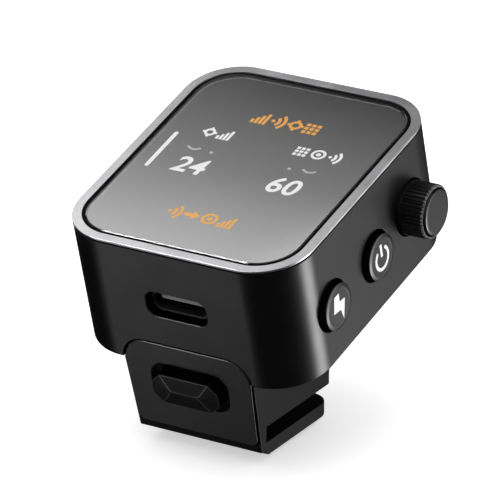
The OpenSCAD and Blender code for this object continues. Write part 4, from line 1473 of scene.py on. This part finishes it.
class TRIGGER_OT_stage(PieceOperator, Operator):
    """Sets up the pale floor, the soft studio light and the camera"""

    bl_idname = "trigger.stage"
    bl_label = "Stage"

    def execute(self, context):
        self.floor()
        for soft_box in SOFT_BOXES:
            self.soft_box(*soft_box)
        self.key_light()
        self.sky(context.scene)
        self.camera(context.scene)
        context.scene.view_settings.view_transform = "Standard"
        return {"FINISHED"}

    def floor(self):
        """Seamless pale floor that the foot stands on. To the camera it is near white, it keeps the shadow,
        and from below it lets the underside show"""
        deselect_all()
        bpy.ops.mesh.primitive_plane_add(size=6, location=(0, 0, CAD_BOX[0].z))
        floor = apply_place(bpy.context.object)
        floor.name = "floor"
        material = bpy.data.materials.new("matt_white_backdrop_paper")
        tree = empty_tree(material)
        place = put(tree, "TexCoord").outputs["Object"]
        fibre = put(tree, "TexNoise", {"Scale": 1 / (1.5 * MM), "Detail": 2.0}, {"Vector": place})
        tone = put(tree, "MapRange", {"To Min": 0.9, "To Max": 0.96}, {"Value": fibre.outputs["Fac"]})
        paper = put(tree, "BsdfPrincipled", {"Roughness": 1.0, "Specular IOR Level": 0.0},
                    {"Base Color": tone.outputs[0]})
        seen = put(tree, "LightPath").outputs["Is Camera Ray"]
        glow = put(tree, "Emission", {"Strength": 0.5})
        both = put(tree, "AddShader", links={0: paper.outputs[0], 1: glow.outputs[0]})
        mixed = put(tree, "MixShader", links={"Fac": seen, 1: paper.outputs[0], 2: both.outputs[0]})
        open_below = put(tree, "MixShader", links={
            "Fac": put(tree, "NewGeometry").outputs["Backfacing"], 1: mixed.outputs[0],
            2: put(tree, "BsdfTransparent").outputs[0]})
        put(tree, "OutputMaterial", links={"Surface": open_below.outputs[0]})
        floor.data.materials.append(material)
        floor.visible_glossy = False

    def soft_box(self, name, spot, outward, along, distance, size, fade, ramp):
        """Soft box that a face of the casing mirrors to the camera. Its light goes from one strength to
        another along a direction of the face, and fades out across it"""
        spot = CASING @ Vector(spot)
        outward = CASING.to_3x3() @ Vector(outward)
        along = CASING.to_3x3() @ Vector(along)
        to_camera = (Vector(settings().stage.camera_place) - spot).normalized()
        mirrored = (2 * to_camera.dot(outward) * outward - to_camera).normalized()
        up = (along - along.dot(mirrored) * mirrored).normalized()
        turn = Matrix((up.cross(mirrored), up, -mirrored)).transposed().to_4x4()
        deselect_all()
        bpy.ops.mesh.primitive_plane_add(size=size)
        card = bpy.context.object
        card.name = name
        card.matrix_world = Matrix.Translation(spot + distance * mirrored) @ turn
        material = bpy.data.materials.new("soft_box_cloth")
        tree = empty_tree(material)
        place = put(tree, "SeparateXYZ", links={"Vector": put(tree, "TexCoord").outputs["Object"]}).outputs
        strength = put(tree, "MapRange", {"From Min": ramp[0], "To Min": ramp[1], "From Max": ramp[2],
                                          "To Max": ramp[3]}, {"Value": place["Y"]})
        fades = {}
        for i, (way, (inner, outer)) in enumerate((("X", fade), ("Y", (0.4 * size, 0.5 * size)))):
            off = put(tree, "Math", {"operation": "ABSOLUTE"}, {0: place[way]})
            fades[i] = put(tree, "MapRange", {
                "interpolation_type": "SMOOTHSTEP", "From Min": inner, "From Max": outer,
                "To Min": 1.0, "To Max": 0.0}, {"Value": off.outputs[0]}).outputs[0]
        cloth = put(tree, "MixShader", links={
            "Fac": put(tree, "Math", {"operation": "MULTIPLY"}, fades).outputs[0],
            1: put(tree, "BsdfTransparent").outputs[0],
            2: put(tree, "Emission", links={"Strength": strength.outputs[0]}).outputs[0]})
        put(tree, "OutputMaterial", links={"Surface": cloth.outputs[0]})
        card.data.materials.append(material)
        for ray in ("camera", "diffuse", "shadow", "transmission"):
            setattr(card, "visible_" + ray, False)

    def key_light(self):
        """Large overhead soft box that gives the floor its soft shadow"""
        deselect_all()
        bpy.ops.object.light_add(type="AREA", location=(-0.15, 0.1, 0.7))
        lamp = bpy.context.object
        lamp.name = "overhead_soft_box"
        lamp.data.size = 0.7
        lamp.data.energy = 2.2
        lamp.rotation_euler = lamp.location.to_track_quat("Z", "Y").to_euler()
        lamp.visible_glossy = False

    def sky(self, scene):
        """White room for the camera, even light for matt surfaces, soft boxes and flags for glossy ones"""
        world = bpy.data.worlds.new("studio")
        scene.world = world
        world.cycles.sampling_method = "NONE"
        tree = empty_tree(world)
        way = put(tree, "TexCoord").outputs["Generated"]
        height = put(tree, "SeparateXYZ", links={"Vector": way}).outputs["Z"]
        total = put(tree, "MapRange", {
            "interpolation_type": "SMOOTHSTEP", "From Min": -0.25, "From Max": 0.35,
            "To Min": 0.2, "To Max": 0.6}, {"Value": height}).outputs[0]
        for azimuth, elevation, inner, outer in FLAGS:
            shade_share = self.spot(tree, way, azimuth, elevation, inner, outer, 1.0, 0.02)
            total = put(tree, "Math", {"operation": "MULTIPLY"}, {0: total, 1: shade_share}).outputs[0]
        for _, azimuth, elevation, inner, outer, strength in STRIPS:
            box_light = self.spot(tree, way, azimuth, elevation, inner, outer, 0.0, strength)
            total = put(tree, "Math", {"operation": "ADD"}, {0: total, 1: box_light}).outputs[0]
        pure = (1, 1, 1, 1)
        glossy = put(tree, "Background", {"Color": pure}, {"Strength": total})
        matt = put(tree, "Background", {"Color": pure, "Strength": 0.75})
        white = put(tree, "Background", {"Color": pure, "Strength": 1.0})
        path = put(tree, "LightPath").outputs
        first = put(tree, "MixShader", links={"Fac": path["Is Glossy Ray"], 1: matt.outputs[0],
                                              2: glossy.outputs[0]})
        last = put(tree, "MixShader", links={"Fac": path["Is Camera Ray"], 1: first.outputs[0],
                                             2: white.outputs[0]})
        put(tree, "OutputWorld", links={"Surface": last.outputs[0]})

    def spot(self, tree, way, azimuth, elevation, inner, outer, outside, inside):
        """Round soft-edged patch of the sky"""
        a, e = math.radians(azimuth), math.radians(elevation)
        aim = (math.cos(e) * math.cos(a), math.cos(e) * math.sin(a), math.sin(e))
        near = put(tree, "VectorMath", {"operation": "DOT_PRODUCT", 1: aim}, {0: way}).outputs["Value"]
        return put(tree, "MapRange", {
            "interpolation_type": "SMOOTHSTEP", "From Min": math.cos(math.radians(outer)),
            "From Max": math.cos(math.radians(inner)), "To Min": outside, "To Max": inside},
            {"Value": near}).outputs[0]

    def camera(self, scene):
        """Long lens from the front right, above the trigger"""
        stage = settings().stage
        deselect_all()
        bpy.ops.object.camera_add(location=stage.camera_place, rotation=stage.camera_turn)
        camera = bpy.context.object
        camera.data.lens = stage.focal_length
        camera.data.sensor_width = 36
        camera.data.clip_start = 0.05
        scene.camera = camera


class VIEW3D_PT_flash_trigger(Panel):
    """Lists the trigger's pieces and their sizes in the sidebar"""

    bl_label = "Flash Trigger"
    bl_space_type = "VIEW_3D"
    bl_region_type = "UI"
    bl_category = "Flash Trigger"

    def draw(self, context):
        for operator in OPERATORS:
            self.layout.operator(operator.bl_idname)
        for part in ("casing", "screen", "control", "foot", "stage"):
            group = getattr(context.scene.flash_trigger, part)
            column = self.layout.box().column()
            for name in group.__annotations__:
                column.prop(group, name)


GROUPS = (CasingSettings, ScreenSettings, ControlSettings, FootSettings, StageSettings, TriggerSettings)
OPERATORS = (
    TRIGGER_OT_casing_shell, TRIGGER_OT_screen_rim, TRIGGER_OT_screen_glass, TRIGGER_OT_screen_graphics,
    TRIGGER_OT_side_keys, TRIGGER_OT_dial, TRIGGER_OT_charging_port, TRIGGER_OT_foot, TRIGGER_OT_foot_cover,
    TRIGGER_OT_release_key, TRIGGER_OT_contacts, TRIGGER_OT_springs, TRIGGER_OT_inner_parts,
    TRIGGER_OT_stage)
CLASSES = GROUPS + OPERATORS + (VIEW3D_PT_flash_trigger,)


def register():
    """Registers the settings, the operators and the panel"""
    for each in CLASSES:
        bpy.utils.register_class(each)
    bpy.types.Scene.flash_trigger = PointerProperty(type=TriggerSettings)


def unregister():
    """Takes the settings, the operators and the panel away again"""
    del bpy.types.Scene.flash_trigger
    for each in reversed(CLASSES):
        bpy.utils.unregister_class(each)


def main():
    """Builds every piece and the stage"""
    register()
    for operator in OPERATORS:
        group, name = operator.bl_idname.split(".")
        getattr(getattr(bpy.ops, group), name)()


if __name__ == "__main__":
    main()
